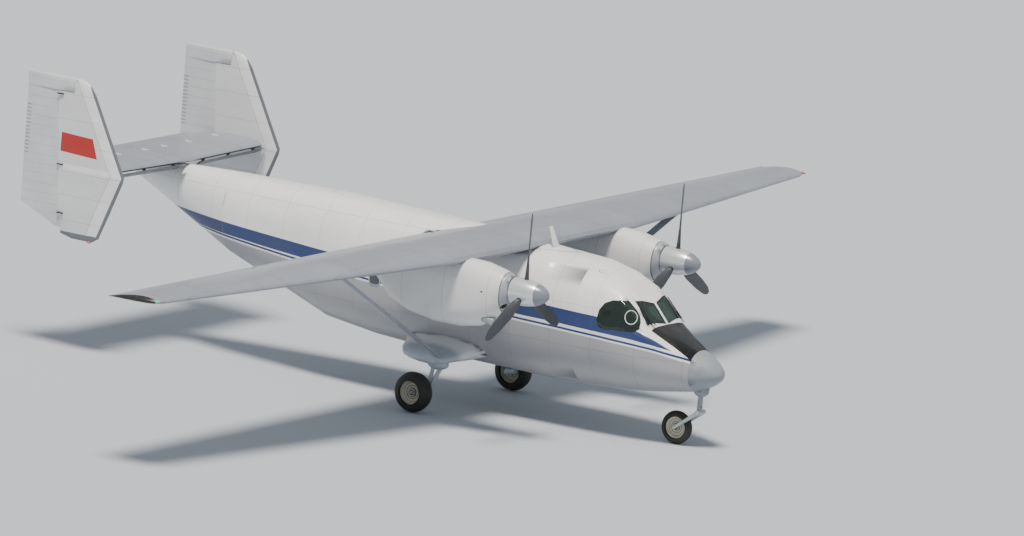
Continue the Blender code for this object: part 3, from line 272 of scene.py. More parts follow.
fuselage_enamel = sheet_enamel("gloss_enamel_with_blue_band", livery, (("X", 0.82, 0.24), ("Z", 0.74, 0.06)))

# Quilted lining inside: grey-green cloth glued over the insulation, matt and a little uneven
lining_cloth, tree, shader, place, axes = start_finish("quilted_grey_green_lining")
quilt = add(tree, "TexVoronoi", {"Scale": 9.0}, {"Vector": place}).outputs["Distance"]
colour = add(tree, "Mix", {"data_type": "RGBA", 6: tint("3F4A45"), 7: tint("566059")}, {0: quilt}).outputs[2]
tree.links.new(colour, shader.inputs["Base Color"])
bump = add(tree, "Bump", {"Strength": 0.4, "Distance": 0.01}, {"Height": quilt})
tree.links.new(bump.outputs[0], shader.inputs["Normal"])
shader.inputs["Roughness"].default_value = 0.88

cabin = skin("cabin_shell", fuselage_enamel, lining=lining_cloth)
skin("tail_cone", fuselage_enamel)
skin("cockpit_shell", fuselage_enamel, lining=lining_cloth)
for node in ("rear_door_left", "rear_door_right"):
    skin(node, fuselage_enamel, lining=lining_cloth)

# Cabin windows
# Five small panes a side, of acrylic painted dark as shade standing in for the dim cabin behind, each in a
# thin grey frame riveted to the skin. The shell is solid there, so each is laid on its surface and stands 8
# mm proud.
WINDOW_STATIONS = (-0.89, -0.11, 0.67, 1.45, 2.23)
WINDOW_MIDDLE_Z, WINDOW_LONG, WINDOW_TALL = 2.11, 0.25, 0.36
WINDOW_CORNER, WINDOW_FRAME, WINDOW_THICK = 0.085, 0.020, 0.010
WINDOW_RINGS, WINDOW_DRAWN_AT_Y = (0.022, 0.028), 1.15

# The panes' dark grey-blue is painted shade: it stands in for the dim cabin seen through clear acrylic
panes_painted_dark_as_cabin_shade, tree, shader, place, axes, smear = mottled_finish(
    "acrylic_cabin_panes_painted_dark_as_cabin_shade", "2A333C", "3B4651", 7.0, 3.0
)
smear_rough = add(tree, "MapRange", {"To Min": 0.04, "To Max": 0.14}, {"Value": smear})
tree.links.new(smear_rough.outputs[0], shader.inputs["Roughness"])
shader.inputs["IOR"].default_value = 1.49
shader.inputs["Coat Weight"].default_value = 0.6

frame_grey, tree, shader = mottled_finish(
    "grey_enamel_on_window_frames", "C9CCD0", "AEB2B8", 40.0, 5.0, 0.35
)[:3]
shader.inputs["Metallic"].default_value = 0.2


def settle(piece, finishes):
    """Puts a piece's place into its mesh, gives it its finishes and hangs it on the airframe."""
    bpy.ops.object.transform_apply(location=True, rotation=True, scale=True)
    piece.data.materials.clear()
    for finish in finishes:
        piece.data.materials.append(finish)
    piece.select_set(False)
    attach(piece, "airframe")


def lay_on(piece, carrier, axis, lift):
    """Projects the active piece along an axis onto what carries it, a little proud of the surface."""
    wrap = piece.modifiers.new("wrap", "SHRINKWRAP")
    wrap.target = carrier
    wrap.wrap_method = "PROJECT"
    wrap.use_negative_direction = True
    wrap.use_positive_direction = True
    setattr(wrap, "use_project_" + axis, True)
    wrap.offset = lift
    bpy.ops.object.modifier_apply(modifier=wrap.name)


def thicken(piece, thickness, offset=-1.0):
    """Makes a wall of the active sheet."""
    wall = piece.modifiers.new("wall", "SOLIDIFY")
    wall.thickness = thickness
    wall.offset = offset
    bpy.ops.object.modifier_apply(modifier=wall.name)


for side_name, side in SIDES:
    for number, station in enumerate(WINDOW_STATIONS, 1):
        facing = (-side * math.pi / 2, 0, 0)
        bpy.ops.mesh.primitive_plane_add(
            size=1, location=(station, side * WINDOW_DRAWN_AT_Y, WINDOW_MIDDLE_Z), rotation=facing
        )
        window = bpy.context.active_object
        window.name = "cabin_window_%s_%d" % (side_name, number)
        window.scale = (WINDOW_LONG, WINDOW_TALL, 1)
        bpy.ops.object.transform_apply(location=True, rotation=True, scale=True)
        bpy.ops.object.mode_set(mode="EDIT")
        bpy.ops.mesh.select_all(action="SELECT")
        bpy.ops.mesh.bevel(offset=WINDOW_CORNER, segments=5, affect="VERTICES")
        bpy.ops.mesh.select_all(action="SELECT")
        bpy.ops.mesh.inset(thickness=WINDOW_FRAME)
        for step in WINDOW_RINGS:
            bpy.ops.mesh.inset(thickness=step)
        bpy.ops.mesh.poke()
        bpy.ops.object.mode_set(mode="OBJECT")
        lay_on(window, cabin, "y", 0.002)
        thicken(window, WINDOW_THICK, offset=0.2)
        settle(window, (panes_painted_dark_as_cabin_shade, frame_grey))
        edge_long, edge_tall = WINDOW_LONG / 2 - WINDOW_FRAME, WINDOW_TALL / 2 - WINDOW_FRAME
        for face in window.data.polygons:
            out_long = abs(face.center.x - station) / edge_long
            out_tall = abs(face.center.z - WINDOW_MIDDLE_Z) / edge_tall
            face.material_index = int(out_long ** 4 + out_tall ** 4 > 0.98)
        window.data.shade_smooth()

# Radome
# Glass-fibre moulding over the weather radar, bolted to the nose frame. Semi-matt grey, faintly mottled,
# with a polished look only where rain has worn the tip.
radome_paint, tree, shader, place, axes = mottled_finish(
    "semi_matt_grey_glass_fibre", "82888F", "969CA4", 9.0, 6.0
)[:5]
worn = add(
    tree, "MapRange", {"From Min": 6.1, "From Max": 6.55, "To Min": 0.55, "To Max": 0.38}, {"Value": axes[0]}
)
tree.links.new(worn.outputs[0], shader.inputs["Roughness"])
fine = add(tree, "TexNoise", {"Scale": 60.0, "Detail": 2.0}, {"Vector": place}).outputs[0]
bump = add(tree, "Bump", {"Strength": 0.08, "Distance": 0.002}, {"Height": fine})
tree.links.new(bump.outputs[0], shader.inputs["Normal"])
skin("nose_cone", radome_paint)

# Windscreen and side windows
# Moulded acrylic with a green cast, bolted in a white frame. Thick panes that show the cockpit dimly.
acrylic, tree, shader, place, axes = start_finish("green_tinted_acrylic")
haze = add(tree, "TexNoise", {"Scale": 5.0, "Detail": 3.0}, {"Vector": place}).outputs[0]
haze_rough = add(tree, "MapRange", {"To Min": 0.02, "To Max": 0.09}, {"Value": haze})
tree.links.new(haze_rough.outputs[0], shader.inputs["Roughness"])
shader.inputs["Base Color"].default_value = tint("6E8A80")
shader.inputs["Transmission Weight"].default_value = 0.92
shader.inputs["IOR"].default_value = 1.49
panes = {}
for node in ("windscreen_left", "windscreen_right", "side_window_left", "side_window_right"):
    panes[node] = skin(node, acrylic)

# Black rubber seals round the windscreen's panes, and a white oval frame to each side window's vent
SEAL_WIDTH, SEAL_THICK, WINDSCREEN_NORMAL = 0.016, 0.005, (0.74, 0.1, 0.67)
VENT_MIDDLE, VENT_NORMAL, VENT_DRAWN_OUT = (5.028, 0.737, 2.215), (0.41, 0.73, 0.55), 0.06
VENT_RADII, VENT_TUBE = (0.108, 0.125), 0.008

seal_rubber = mottled_finish("black_rubber_window_seals", "0E0F10", "26282A", 30.0, 4.0, 0.6)[0]
frame_white = mottled_finish("white_enamel_on_vent_frames", "EDEFF0", "D4D7DA", 50.0, 4.0, 0.3)[0]


def rim_on(name, carrier, middle, radii, normal, tube, finish):
    """A round or oval rim: a circle projected onto its carrier along its own normal, then made a tube."""
    turn = Vector(normal).to_track_quat("Z", "Y").to_euler()
    bpy.ops.mesh.primitive_circle_add(vertices=28, radius=1, location=middle, rotation=turn)
    rim = bpy.context.active_object
    rim.name = name
    rim.scale = (radii[0], radii[1], 1)
    bpy.ops.object.transform_apply(location=False, rotation=False, scale=True)
    lay_on(rim, carrier, "z", tube * 0.4)
    bpy.ops.object.convert(target="CURVE")
    rim = bpy.context.active_object
    rim.data.bevel_depth = tube
    rim.data.bevel_resolution = 2
    bpy.ops.object.convert(target="MESH")
    rim = bpy.context.active_object
    rim.data.shade_smooth()
    settle(rim, (finish,))


for side_name, side in SIDES:
    pane = panes["windscreen_" + side_name]
    seal = bpy.data.objects.new("windscreen_seal_" + side_name, pane.data.copy())
    bpy.context.collection.objects.link(seal)
    bpy.context.view_layer.objects.active = seal
    seal.select_set(True)
    outward = mirrored(WINDSCREEN_NORMAL, side).normalized()
    bpy.ops.object.mode_set(mode="EDIT")
    bpy.ops.mesh.select_mode(type="FACE")
    bpy.ops.mesh.select_all(action="DESELECT")
    bpy.ops.object.mode_set(mode="OBJECT")
    for face in seal.data.polygons:
        face.select = face.normal.dot(outward) < 0.6
    bpy.ops.object.mode_set(mode="EDIT")
    bpy.ops.mesh.delete(type="FACE")
    bpy.ops.mesh.select_all(action="SELECT")
    bpy.ops.mesh.inset(thickness=SEAL_WIDTH)
    bpy.ops.mesh.delete(type="FACE")
    bpy.ops.mesh.select_mode(type="VERT")
    bpy.ops.object.mode_set(mode="OBJECT")
    thicken(seal, SEAL_THICK, offset=0.6)
    settle(seal, (seal_rubber,))
    vent_normal = mirrored(VENT_NORMAL, side).normalized()
    vent_middle = mirrored(VENT_MIDDLE, side) + vent_normal * VENT_DRAWN_OUT
    rim_on(
        "vent_frame_" + side_name, panes["side_window_" + side_name], vent_middle, VENT_RADII, vent_normal,
        VENT_TUBE, frame_white,
    )

# Antennas, probe and wipers
# A white whip on the rear roof and a blade antenna ahead of the wing, a bent air probe over the cockpit,
# and a black wiper parked along each windscreen pane's outer edge.
antenna_white = mottled_finish("white_enamel_on_antennas", "F1F2F3", "D9DCE0", 25.0, 5.0, 0.34)[0]


def tapered_bar(name, foot, head, foot_size, head_size, finish, facing="Y"):
    """A bar from foot to head: a block with its far end resized and its edges rounded."""
    foot, head = Vector(foot), Vector(head)
    bpy.ops.mesh.primitive_cube_add(size=1, location=(0, 0, 0))
    bar = bpy.context.active_object
    bar.name = name
    length = (head - foot).length
    for low_end, size in ((True, foot_size), (False, head_size)):
        bpy.ops.object.mode_set(mode="EDIT")
        bpy.ops.mesh.select_mode(type="VERT")
        bpy.ops.mesh.select_all(action="DESELECT")
        bpy.ops.object.mode_set(mode="OBJECT")
        for vertex in bar.data.vertices:
            vertex.select = (vertex.co.z < 0) == low_end
        bpy.ops.object.mode_set(mode="EDIT")
        bpy.ops.transform.resize(value=(size[0], size[1], 1))
        bpy.ops.transform.translate(value=(0, 0, 0.5 - length / 2 if low_end else length / 2 - 0.5))
    bpy.ops.mesh.select_all(action="SELECT")
    bpy.ops.mesh.bevel(offset=min(*foot_size, *head_size) * 0.28, segments=2)
    bpy.ops.object.mode_set(mode="OBJECT")
    bar.data.shade_smooth()
    turn = (head - foot).to_track_quat("Z", facing).to_matrix().to_4x4()
    bar.matrix_world = Matrix.Translation((foot + head) / 2) @ turn
    settle(bar, (finish,))


# name, foot, head, size at the foot, size at the head, the side that faces up
ANTENNA_PARTS = (
    ("whip_antenna", (-1.487, -0.126, 3.262), (-1.66, -0.126, 3.80), (0.016, 0.016), (0.008, 0.008), "Y"),
    ("whip_antenna_foot", (-1.487, -0.126, 3.25), (-1.50, -0.126, 3.30), (0.06, 0.06), (0.03, 0.03), "Y"),
    ("blade_antenna", (3.02, -0.056, 3.02), (2.86, -0.056, 3.40), (0.022, 0.19), (0.012, 0.10), "X"),
    ("air_probe_stem", (4.14, -0.47, 2.80), (4.16, -0.47, 2.885), (0.014, 0.014), (0.012, 0.012), "Y"),
    ("air_probe_tube", (4.145, -0.475, 2.885), (4.33, -0.44, 2.885), (0.014, 0.014), (0.010, 0.010), "Y"),
)
for name, foot, head, foot_size, head_size, facing in ANTENNA_PARTS:
    tapered_bar(name, foot, head, foot_size, head_size, antenna_white, facing=facing)

# name, foot and head on the port side, size at the foot, size at the head
WIPER_PARTS = (
    ("wiper_arm_", (5.385, 0.50, 2.05), (5.18, 0.505, 2.275), (0.014, 0.012), (0.010, 0.010)),
    ("wiper_blade_", (5.33, 0.52, 2.105), (5.02, 0.49, 2.445), (0.012, 0.020), (0.012, 0.016)),
)
for side_name, side in SIDES:
    for name, foot, head, foot_size, head_size in WIPER_PARTS:
        tapered_bar(
            name + side_name, mirrored(foot, side), mirrored(head, side), foot_size, head_size,
            seal_rubber,
        )

# Cockpit
# A crackle-black instrument panel with round dials, and two pilots' seats in worn grey-brown cloth.
crackle, tree, shader, place, axes = start_finish("crackle_black_instrument_paint")
cells = add(tree, "TexVoronoi", {"Scale": 15.0}, {"Vector": place}).outputs["Distance"]
dial = add(tree, "Math", {"operation": "LESS_THAN", 1: 0.28}, {0: cells}).outputs[0]
colour = add(tree, "Mix", {"data_type": "RGBA", 6: tint("1B1C1E"), 7: tint("3A3E40")}, {0: dial}).outputs[2]
tree.links.new(colour, shader.inputs["Base Color"])
grain = add(tree, "TexNoise", {"Scale": 240.0, "Detail": 2.0}, {"Vector": place}).outputs[0]
bump = add(tree, "Bump", {"Strength": 0.3, "Distance": 0.001}, {"Height": grain})
tree.links.new(bump.outputs[0], shader.inputs["Normal"])
shader.inputs["Roughness"].default_value = 0.6
skin("instrument_panel", crackle)

seat_weave, tree, shader, place, axes = start_finish("woven_seat_cloth")
# Threads 2.5 mm apart
rows = add(tree, "TexWave", {"Scale": 125.0, "Distortion": 1.5, "Detail": 2.0}, {"Vector": place}).outputs[1]
colour = add(tree, "Mix", {"data_type": "RGBA", 6: tint("5B564E"), 7: tint("6E685D")}, {0: rows}).outputs[2]
tree.links.new(colour, shader.inputs["Base Color"])
bump = add(tree, "Bump", {"Strength": 0.35, "Distance": 0.002}, {"Height": rows})
tree.links.new(bump.outputs[0], shader.inputs["Normal"])
shader.inputs["Roughness"].default_value = 0.9
shader.inputs["Sheen Weight"].default_value = 0.2


def cushion(name, low, high, round_by):
    """A crowned pad between two corners: a block, subdivided, swollen and with its edges rounded off."""
    low, high = Vector(low), Vector(high)
    bpy.ops.mesh.primitive_cube_add(size=1, location=(low + high) / 2)
    pad = bpy.context.active_object
    pad.name = name
    bpy.ops.object.mode_set(mode="EDIT")
    bpy.ops.mesh.select_all(action="SELECT")
    bpy.ops.transform.resize(value=(high - low - Vector((round_by, round_by, round_by)) * 0.3))
    bpy.ops.mesh.subdivide(number_cuts=5)
    bpy.ops.mesh.bevel(offset=0.004, segments=1)
    bpy.ops.object.mode_set(mode="OBJECT")
    middle = (low + high) / 2
    size = high - low
    for vertex in pad.data.vertices:
        share = [2 * vertex.co[i] / size[i] for i in range(3)]
        for i in range(3):
            others = [share[j] for j in range(3) if j != i]
            pull = 1 - 0.16 * max(abs(others[0]), abs(others[1])) ** 3
            vertex.co[i] *= pull
    soft = pad.modifiers.new("soft", "SUBSURF")
    soft.levels = soft.render_levels = 1
    bpy.ops.object.modifier_apply(modifier=soft.name)
    bpy.ops.object.shade_smooth()
    pad.data.transform(Matrix.Translation(middle))
    pad.location = (0, 0, 0)
    pad.data.materials.append(seat_weave)
    pad.select_set(False)
    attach(pad, "airframe")
    return pad


for side_name in ("left", "right"):
    low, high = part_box("pilot_seat_" + side_name)
    y0, y1 = low[1], high[1]
    seat = cushion(
        "seat_pad_" + side_name, (low[0] + 0.11, y0 + 0.01, low[2] + 0.30),
        (high[0] - 0.01, y1 - 0.01, low[2] + 0.46), 0.05
    )
    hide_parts("pilot_seat_" + side_name)
    cushion(
        "seat_back_" + side_name, (low[0] + 0.01, y0 + 0.02, low[2] + 0.40),
        (low[0] + 0.14, y1 - 0.02, high[2] - 0.02), 0.05
    )
    cushion(
        "seat_foot_" + side_name, (low[0] + 0.04, y0 + 0.05, low[2] + 0.005),
        (high[0] - 0.10, y1 - 0.05, low[2] + 0.31), 0.05
    )

# Wings, tailplane and struts
# Grey enamel on riveted sheet, weathered along the chord. Flaps, ailerons and elevators carry the same
# paint over doped fabric or sheet.
TIP_END_SHADE_Y = 10.955


def wing_grey(tree, x, y, z):
    """One grey, a little lighter where the sun has chalked it, and black on the wing's tip end faces: partly
    a dark end cap, partly painted shade on faces turned from the light.
    """
    place = add(tree, "CombineXYZ", {}, {0: x, 1: y, 2: z}).outputs[0]
    chalk = add(tree, "TexNoise", {"Scale": 0.9, "Detail": 5.0}, {"Vector": place}).outputs[0]
    grey = add(
        tree, "Mix", {"data_type": "RGBA", 6: tint("868C97"), 7: tint("9BA1AC")}, {0: chalk}
    ).outputs[2]
    across = add(tree, "Math", {"operation": "ABSOLUTE"}, {0: y}).outputs[0]
    # Black on the tips' end faces: partly a dark end cap, partly painted shade
    tip_end_shade = add(tree, "Math", {"operation": "GREATER_THAN", 1: TIP_END_SHADE_Y}, {0: across}).outputs[0]
    return add(tree, "Mix", {"data_type": "RGBA", 7: tint("101113")}, {0: tip_end_shade, 6: grey}).outputs[2]


wing_enamel = sheet_enamel(
    "grey_enamel_on_wing_sheet", wing_grey, (("Y", 0.64, 0.05), ("X", 0.55, 0.13)), gloss=0.34, grime=0.22
)
WING_NODES = (
    "wing_centre", "wing_left", "wing_right", "flap_inner_left", "flap_inner_right", "flap_outer_left",
    "flap_outer_right"
)
for node in WING_NODES:
    skin(node, wing_enamel)
for node in ("aileron_left", "aileron_right", "elevator_left", "elevator_right"):
    skin(node, wing_enamel)
tail_enamel = sheet_enamel(
    "grey_enamel_on_tail_sheet", wing_grey, (("Y", 0.42, 0.1), ("X", 0.6, 0.55)), gloss=0.34, grime=0.2
)
skin("tailplane", tail_enamel)
strut_enamel = sheet_enamel("grey_enamel_on_struts", wing_grey, (), gloss=0.3, grime=0.2)
for node in ("strut_left", "strut_right", "nose_leg"):
    skin(node, strut_enamel)


def slat_grey(tree, x, y, z):
    """The dark grey of the fixed slats."""
    place = add(tree, "CombineXYZ", {}, {0: x, 1: y, 2: z}).outputs[0]
    wear = add(tree, "TexNoise", {"Scale": 12.0, "Detail": 5.0}, {"Vector": place}).outputs[0]
    return add(tree, "Mix", {"data_type": "RGBA", 6: tint("4C5057"), 7: tint("5E636B")}, {0: wear}).outputs[2]


slat_enamel = sheet_enamel("dark_grey_enamel_on_slats", slat_grey, (), gloss=0.4, grime=0.2)
for node in ("tailplane_slat_left", "tailplane_slat_right"):
    skin(node, slat_enamel)

# Lamps and tailplane brackets
# Moulded lenses: green on the starboard wing tip, red on the port one, and red under each fin. Small
# cast brackets stand on the tailplane ahead of the elevators.
def lens(name, middle, radii, code):
    """A teardrop lens: a sphere drawn out backwards, with its rear narrowed."""
    finish, tree, shader, place, axes = start_finish(name + "_tinted_acrylic")
    depth = add(tree, "TexNoise", {"Scale": 60.0, "Detail": 2.0}, {"Vector": place}).outputs[0]
    share = add(tree, "MapRange", {"To Max": 0.25}, {"Value": depth}).outputs[0]
    colour = add(tree, "Mix", {"data_type": "RGBA", 6: tint(code), 7: tint("E8F0EE")}, {0: share}).outputs[2]
    tree.links.new(colour, shader.inputs["Base Color"])
    shader.inputs["Roughness"].default_value = 0.08
    shader.inputs["Coat Weight"].default_value = 0.8
    shader.inputs["Emission Color"].default_value = tint(code)
    shader.inputs["Emission Strength"].default_value = 0.6
    bpy.ops.mesh.primitive_uv_sphere_add(segments=20, ring_count=12, radius=1, location=middle)
    lamp = bpy.context.active_object
    lamp.name = name
    bpy.ops.object.mode_set(mode="EDIT")
    bpy.ops.mesh.select_mode(type="VERT")
    bpy.ops.mesh.select_all(action="DESELECT")
    bpy.ops.object.mode_set(mode="OBJECT")
    for vertex in lamp.data.vertices:
        vertex.select = vertex.co.x < -0.4
    bpy.ops.object.mode_set(mode="EDIT")
    bpy.ops.transform.resize(value=(1.6, 0.55, 0.55))
    bpy.ops.object.mode_set(mode="OBJECT")
    lamp.data.shade_smooth()
    lamp.scale = radii
    settle(lamp, (finish,))


RED, GREEN = "C01B14", "19B38C"
TIP_LAMP_MIDDLE, TIP_LAMP_RADII = (1.63, 10.985, 3.028), (0.062, 0.032, 0.026)
FIN_LAMP_MIDDLE, FIN_LAMP_RADII = (-5.02, 2.60, 2.052), (0.045, 0.026, 0.026)
# x and y of the brackets' middles
ELEVATOR_BRACKETS, BRACKET_Z = ((-5.42, 0.32), (-5.45, 1.164), (-5.52, 2.172)), 3.418
for (side_name, side), code in zip(SIDES, (RED, GREEN)):
    lens("tip_lamp_" + side_name, mirrored(TIP_LAMP_MIDDLE, side), TIP_LAMP_RADII, code)
for side_name, side in SIDES:
    lens("fin_lamp_" + side_name, mirrored(FIN_LAMP_MIDDLE, side), FIN_LAMP_RADII, RED)
    for number, (bracket_x, bracket_y) in enumerate(ELEVATOR_BRACKETS, 1):
        tapered_bar(
            "elevator_bracket_%s_%d" % (side_name, number),
            mirrored((bracket_x + 0.06, bracket_y, BRACKET_Z), side),
            mirrored((bracket_x - 0.07, bracket_y, BRACKET_Z + 0.006), side),
            (0.022, 0.020), (0.030, 0.030), antenna_white,
        )

# Fins and rudders
# White enamel, a dark grey rubber de-icing boot along the leading edge, a grey foot, and a plain red
# mark on the outer face. The rudders are doped fabric, with ribs that show through.

# The mark is a parallelogram: its ends lean as x falls away with z, and its edges as z falls away with x
MARK_REAR_X, MARK_FRONT_X, MARK_END_LEAN = -5.735, -5.02, 0.36
MARK_FOOT_Z, MARK_TOP_Z, MARK_MIDDLE_X, MARK_FALL = 3.572, 3.912, -5.37, -0.045
STRIP_FOOT_Z, STRIP_TOP_Z = 3.245, 3.375
LEADING_SHEET, BOOT_WIDTH, GREY_BELOW_Z, FIN_MIDDLE_Y = 0.27, 0.055, 2.17, 2.60
# z and x of the leading edge's ends, above and below its corner
LEADING_EDGES = (((3.31, -4.400), (4.66, -5.115)), ((2.14, -4.825), (3.20, -4.420)))


def on_mark(tree, x, y, z):
    """One on the red mark, on the outer faces only."""
    off_middle = add(tree, "Math", {"operation": "SUBTRACT", 1: MARK_MIDDLE_X}, {0: x}).outputs[0]
    fallen = add(tree, "Math", {"operation": "MULTIPLY_ADD", 1: -MARK_FALL}, {0: off_middle, 2: z}).outputs[0]
    half, middle = (MARK_TOP_Z - MARK_FOOT_Z) / 2, (MARK_TOP_Z + MARK_FOOT_Z) / 2
    in_height = add(tree, "Math", {"operation": "COMPARE", 1: middle, 2: half}, {0: fallen}).outputs[0]
    off_height = add(tree, "Math", {"operation": "SUBTRACT", 1: middle}, {0: z}).outputs[0]
    leaned = add(
        tree, "Math", {"operation": "MULTIPLY_ADD", 1: MARK_END_LEAN}, {0: off_height, 2: x}
    ).outputs[0]
    before = add(tree, "Math", {"operation": "LESS_THAN", 1: MARK_FRONT_X}, {0: leaned}).outputs[0]
    after = add(tree, "Math", {"operation": "GREATER_THAN", 1: MARK_REAR_X}, {0: x}).outputs[0]
    across = add(tree, "Math", {"operation": "ABSOLUTE"}, {0: y}).outputs[0]
    outer = add(tree, "Math", {"operation": "GREATER_THAN", 1: FIN_MIDDLE_Y}, {0: across}).outputs[0]
    mark = in_height
    for share in (before, after, outer):
        mark = add(tree, "Math", {"operation": "MULTIPLY"}, {0: mark, 1: share}).outputs[0]
    return mark


def fin_colours(tree, x, y, z):
    """White, with the boot by distance from the leading edge, the grey foot and the red mark. The leading
    sheet and a fairing strip at the tailplane's height are painted lighter as light falling on them, and
    the line at the sheet's rear edge is darkened as painted shade.
    """
    edges = []
    for (low_z, low_x), (high_z, high_x) in LEADING_EDGES:
        span = {"From Min": low_z, "From Max": high_z, "To Min": low_x, "To Max": high_x, "clamp": False}
        edges.append(add(tree, "MapRange", span, {"Value": z}).outputs[0])
    nose = add(tree, "Math", {"operation": "MINIMUM"}, {0: edges[0], 1: edges[1]}).outputs[0]
    back = add(tree, "Math", {"operation": "SUBTRACT"}, {0: nose, 1: x}).outputs[0]
    boot = add(tree, "Math", {"operation": "LESS_THAN", 1: BOOT_WIDTH}, {0: back}).outputs[0]
    foot = add(tree, "Math", {"operation": "LESS_THAN", 1: GREY_BELOW_Z}, {0: z}).outputs[0]
    dark = add(tree, "Math", {"operation": "MAXIMUM"}, {0: boot, 1: foot}).outputs[0]
    # The leading sheet is painted lighter than the panels behind it, as painted light on its raised curve
    behind_sheet = add(tree, "Math", {"operation": "GREATER_THAN", 1: LEADING_SHEET}, {0: back}).outputs[0]
    lit_sheet_and_panels = {"data_type": "RGBA", 6: tint("F2F3F4"), 7: tint("DEE0E3")}
    colour = add(tree, "Mix", lit_sheet_and_panels, {0: behind_sheet}).outputs[2]
    # The dark line at the leading sheet's rear edge is a joint, darkened as painted shade where the thickness
    # steps
    joint = add(tree, "Math", {"operation": "COMPARE", 1: LEADING_SHEET, 2: 0.006}, {0: back}).outputs[0]
    # The strip at the tailplane's height is a fairing painted lighter, as painted light falling on it
    strip_middle, strip_half = (STRIP_TOP_Z + STRIP_FOOT_Z) / 2, (STRIP_TOP_Z - STRIP_FOOT_Z) / 2
    lit_strip = add(tree, "Math", {"operation": "COMPARE", 1: strip_middle, 2: strip_half}, {0: z}).outputs[0]
    colour = add(tree, "Mix", {"data_type": "RGBA", 7: tint("F4F5F6")}, {0: lit_strip, 6: colour}).outputs[2]
    strip_foot = add(tree, "Math", {"operation": "COMPARE", 1: STRIP_FOOT_Z, 2: 0.006}, {0: z}).outputs[0]
    joints = add(tree, "Math", {"operation": "MAXIMUM"}, {0: joint, 1: strip_foot}).outputs[0]
    joint_share = add(tree, "Math", {"operation": "MULTIPLY", 1: 0.5}, {0: joints}).outputs[0]
    colour = add(
        tree, "Mix", {"data_type": "RGBA", 7: tint("6A6D73")}, {0: joint_share, 6: colour}
    ).outputs[2]
    colour = add(tree, "Mix", {"data_type": "RGBA", 7: tint("6F737B")}, {0: dark, 6: colour}).outputs[2]
    mark = on_mark(tree, x, y, z)
    return add(tree, "Mix", {"data_type": "RGBA", 7: tint("B52418")}, {0: mark, 6: colour}).outputs[2]


fin_enamel = sheet_enamel(
    "white_enamel_on_fin_sheet", fin_colours, (("Z", 0.45, 0.12),), gloss=0.3, grime=0.12
)
for node in ("fin_left", "fin_right"):
    skin(node, fin_enamel)

rudder_fabric, tree, shader, place, axes = start_finish("doped_fabric_on_ribs")
ribs = repeated_lines(tree, axes[2], 0.17, 0.022, 0.05)
soil = add(tree, "TexNoise", {"Scale": 2.5, "Detail": 6.0}, {"Vector": place}).outputs[0]
colour = add(tree, "Mix", {"data_type": "RGBA", 6: tint("DDDFE2"), 7: tint("C3C6CB")}, {0: soil}).outputs[2]
rib_share = add(tree, "Math", {"operation": "MULTIPLY", 1: 0.16}, {0: ribs}).outputs[0]
colour = add(tree, "Mix", {"data_type": "RGBA", 7: tint("8A8E95")}, {0: rib_share, 6: colour}).outputs[2]

# The tab on the trailing edge is pressed into a ladder of ribs, drawn as dark rungs of painted shade
LADDER_EDGE_X, LADDER_FOOT_Z, LADDER_TOP_Z, RUNG_PITCH = -6.43, 3.44, 4.33, 0.066
rung_shade = repeated_lines(tree, axes[2], RUNG_PITCH, RUNG_PITCH * 0.45, 0.0)
at_edge = add(tree, "Math", {"operation": "LESS_THAN", 1: LADDER_EDGE_X}, {0: axes[0]}).outputs[0]
ladder_middle, ladder_half = (LADDER_FOOT_Z + LADDER_TOP_Z) / 2, (LADDER_TOP_Z - LADDER_FOOT_Z) / 2
in_ladder = add(
    tree, "Math", {"operation": "COMPARE", 1: ladder_middle, 2: ladder_half}, {0: axes[2]}
).outputs[0]
in_ladder = add(tree, "Math", {"operation": "MULTIPLY"}, {0: in_ladder, 1: at_edge}).outputs[0]
rung_shade = add(tree, "Math", {"operation": "MULTIPLY"}, {0: rung_shade, 1: in_ladder}).outputs[0]
rung_shade_share = add(tree, "Math", {"operation": "MULTIPLY", 1: 0.55}, {0: rung_shade}).outputs[0]
colour = add(tree, "Mix", {"data_type": "RGBA", 7: tint("6F737A")}, {0: rung_shade_share, 6: colour}).outputs[2]
tree.links.new(colour, shader.inputs["Base Color"])
weave = add(tree, "TexNoise", {"Scale": 180.0, "Detail": 2.0}, {"Vector": place}).outputs[0]
height = add(tree, "Math", {"operation": "MULTIPLY_ADD", 1: 3.0}, {0: ribs, 2: weave}).outputs[0]
bump = add(tree, "Bump", {"Strength": 0.25, "Distance": 0.002}, {"Height": height})
tree.links.new(bump.outputs[0], shader.inputs["Normal"])
shader.inputs["Roughness"].default_value = 0.5
for node in ("rudder_left", "rudder_right"):
    skin(node, rudder_fabric)

# Dark cast hinge brackets stand on the fins beside the rudders' hinge line, on the outer face
RUDDER_HINGES, FIN_FACE_Y = ((-5.889, 4.60), (-5.777, 3.35), (-5.700, 2.49)), 2.668
for side_name, side in SIDES:
    for number, (hinge_x, hinge_z) in enumerate(RUDDER_HINGES, 1):
        tapered_bar(
            "rudder_bracket_%s_%d" % (side_name, number),
            mirrored((hinge_x + 0.13, FIN_FACE_Y, hinge_z), side),
            mirrored((hinge_x, FIN_FACE_Y + 0.007, hinge_z), side),
            (0.026, 0.022), (0.030, 0.022), seal_rubber,
        )

# Nacelles
# White enamel over aluminium cowlings, soot behind the exhaust stubs, panel joints round the cowl, and a
# pale bare-metal band at the front.
COWL_JOINT_X = 3.585


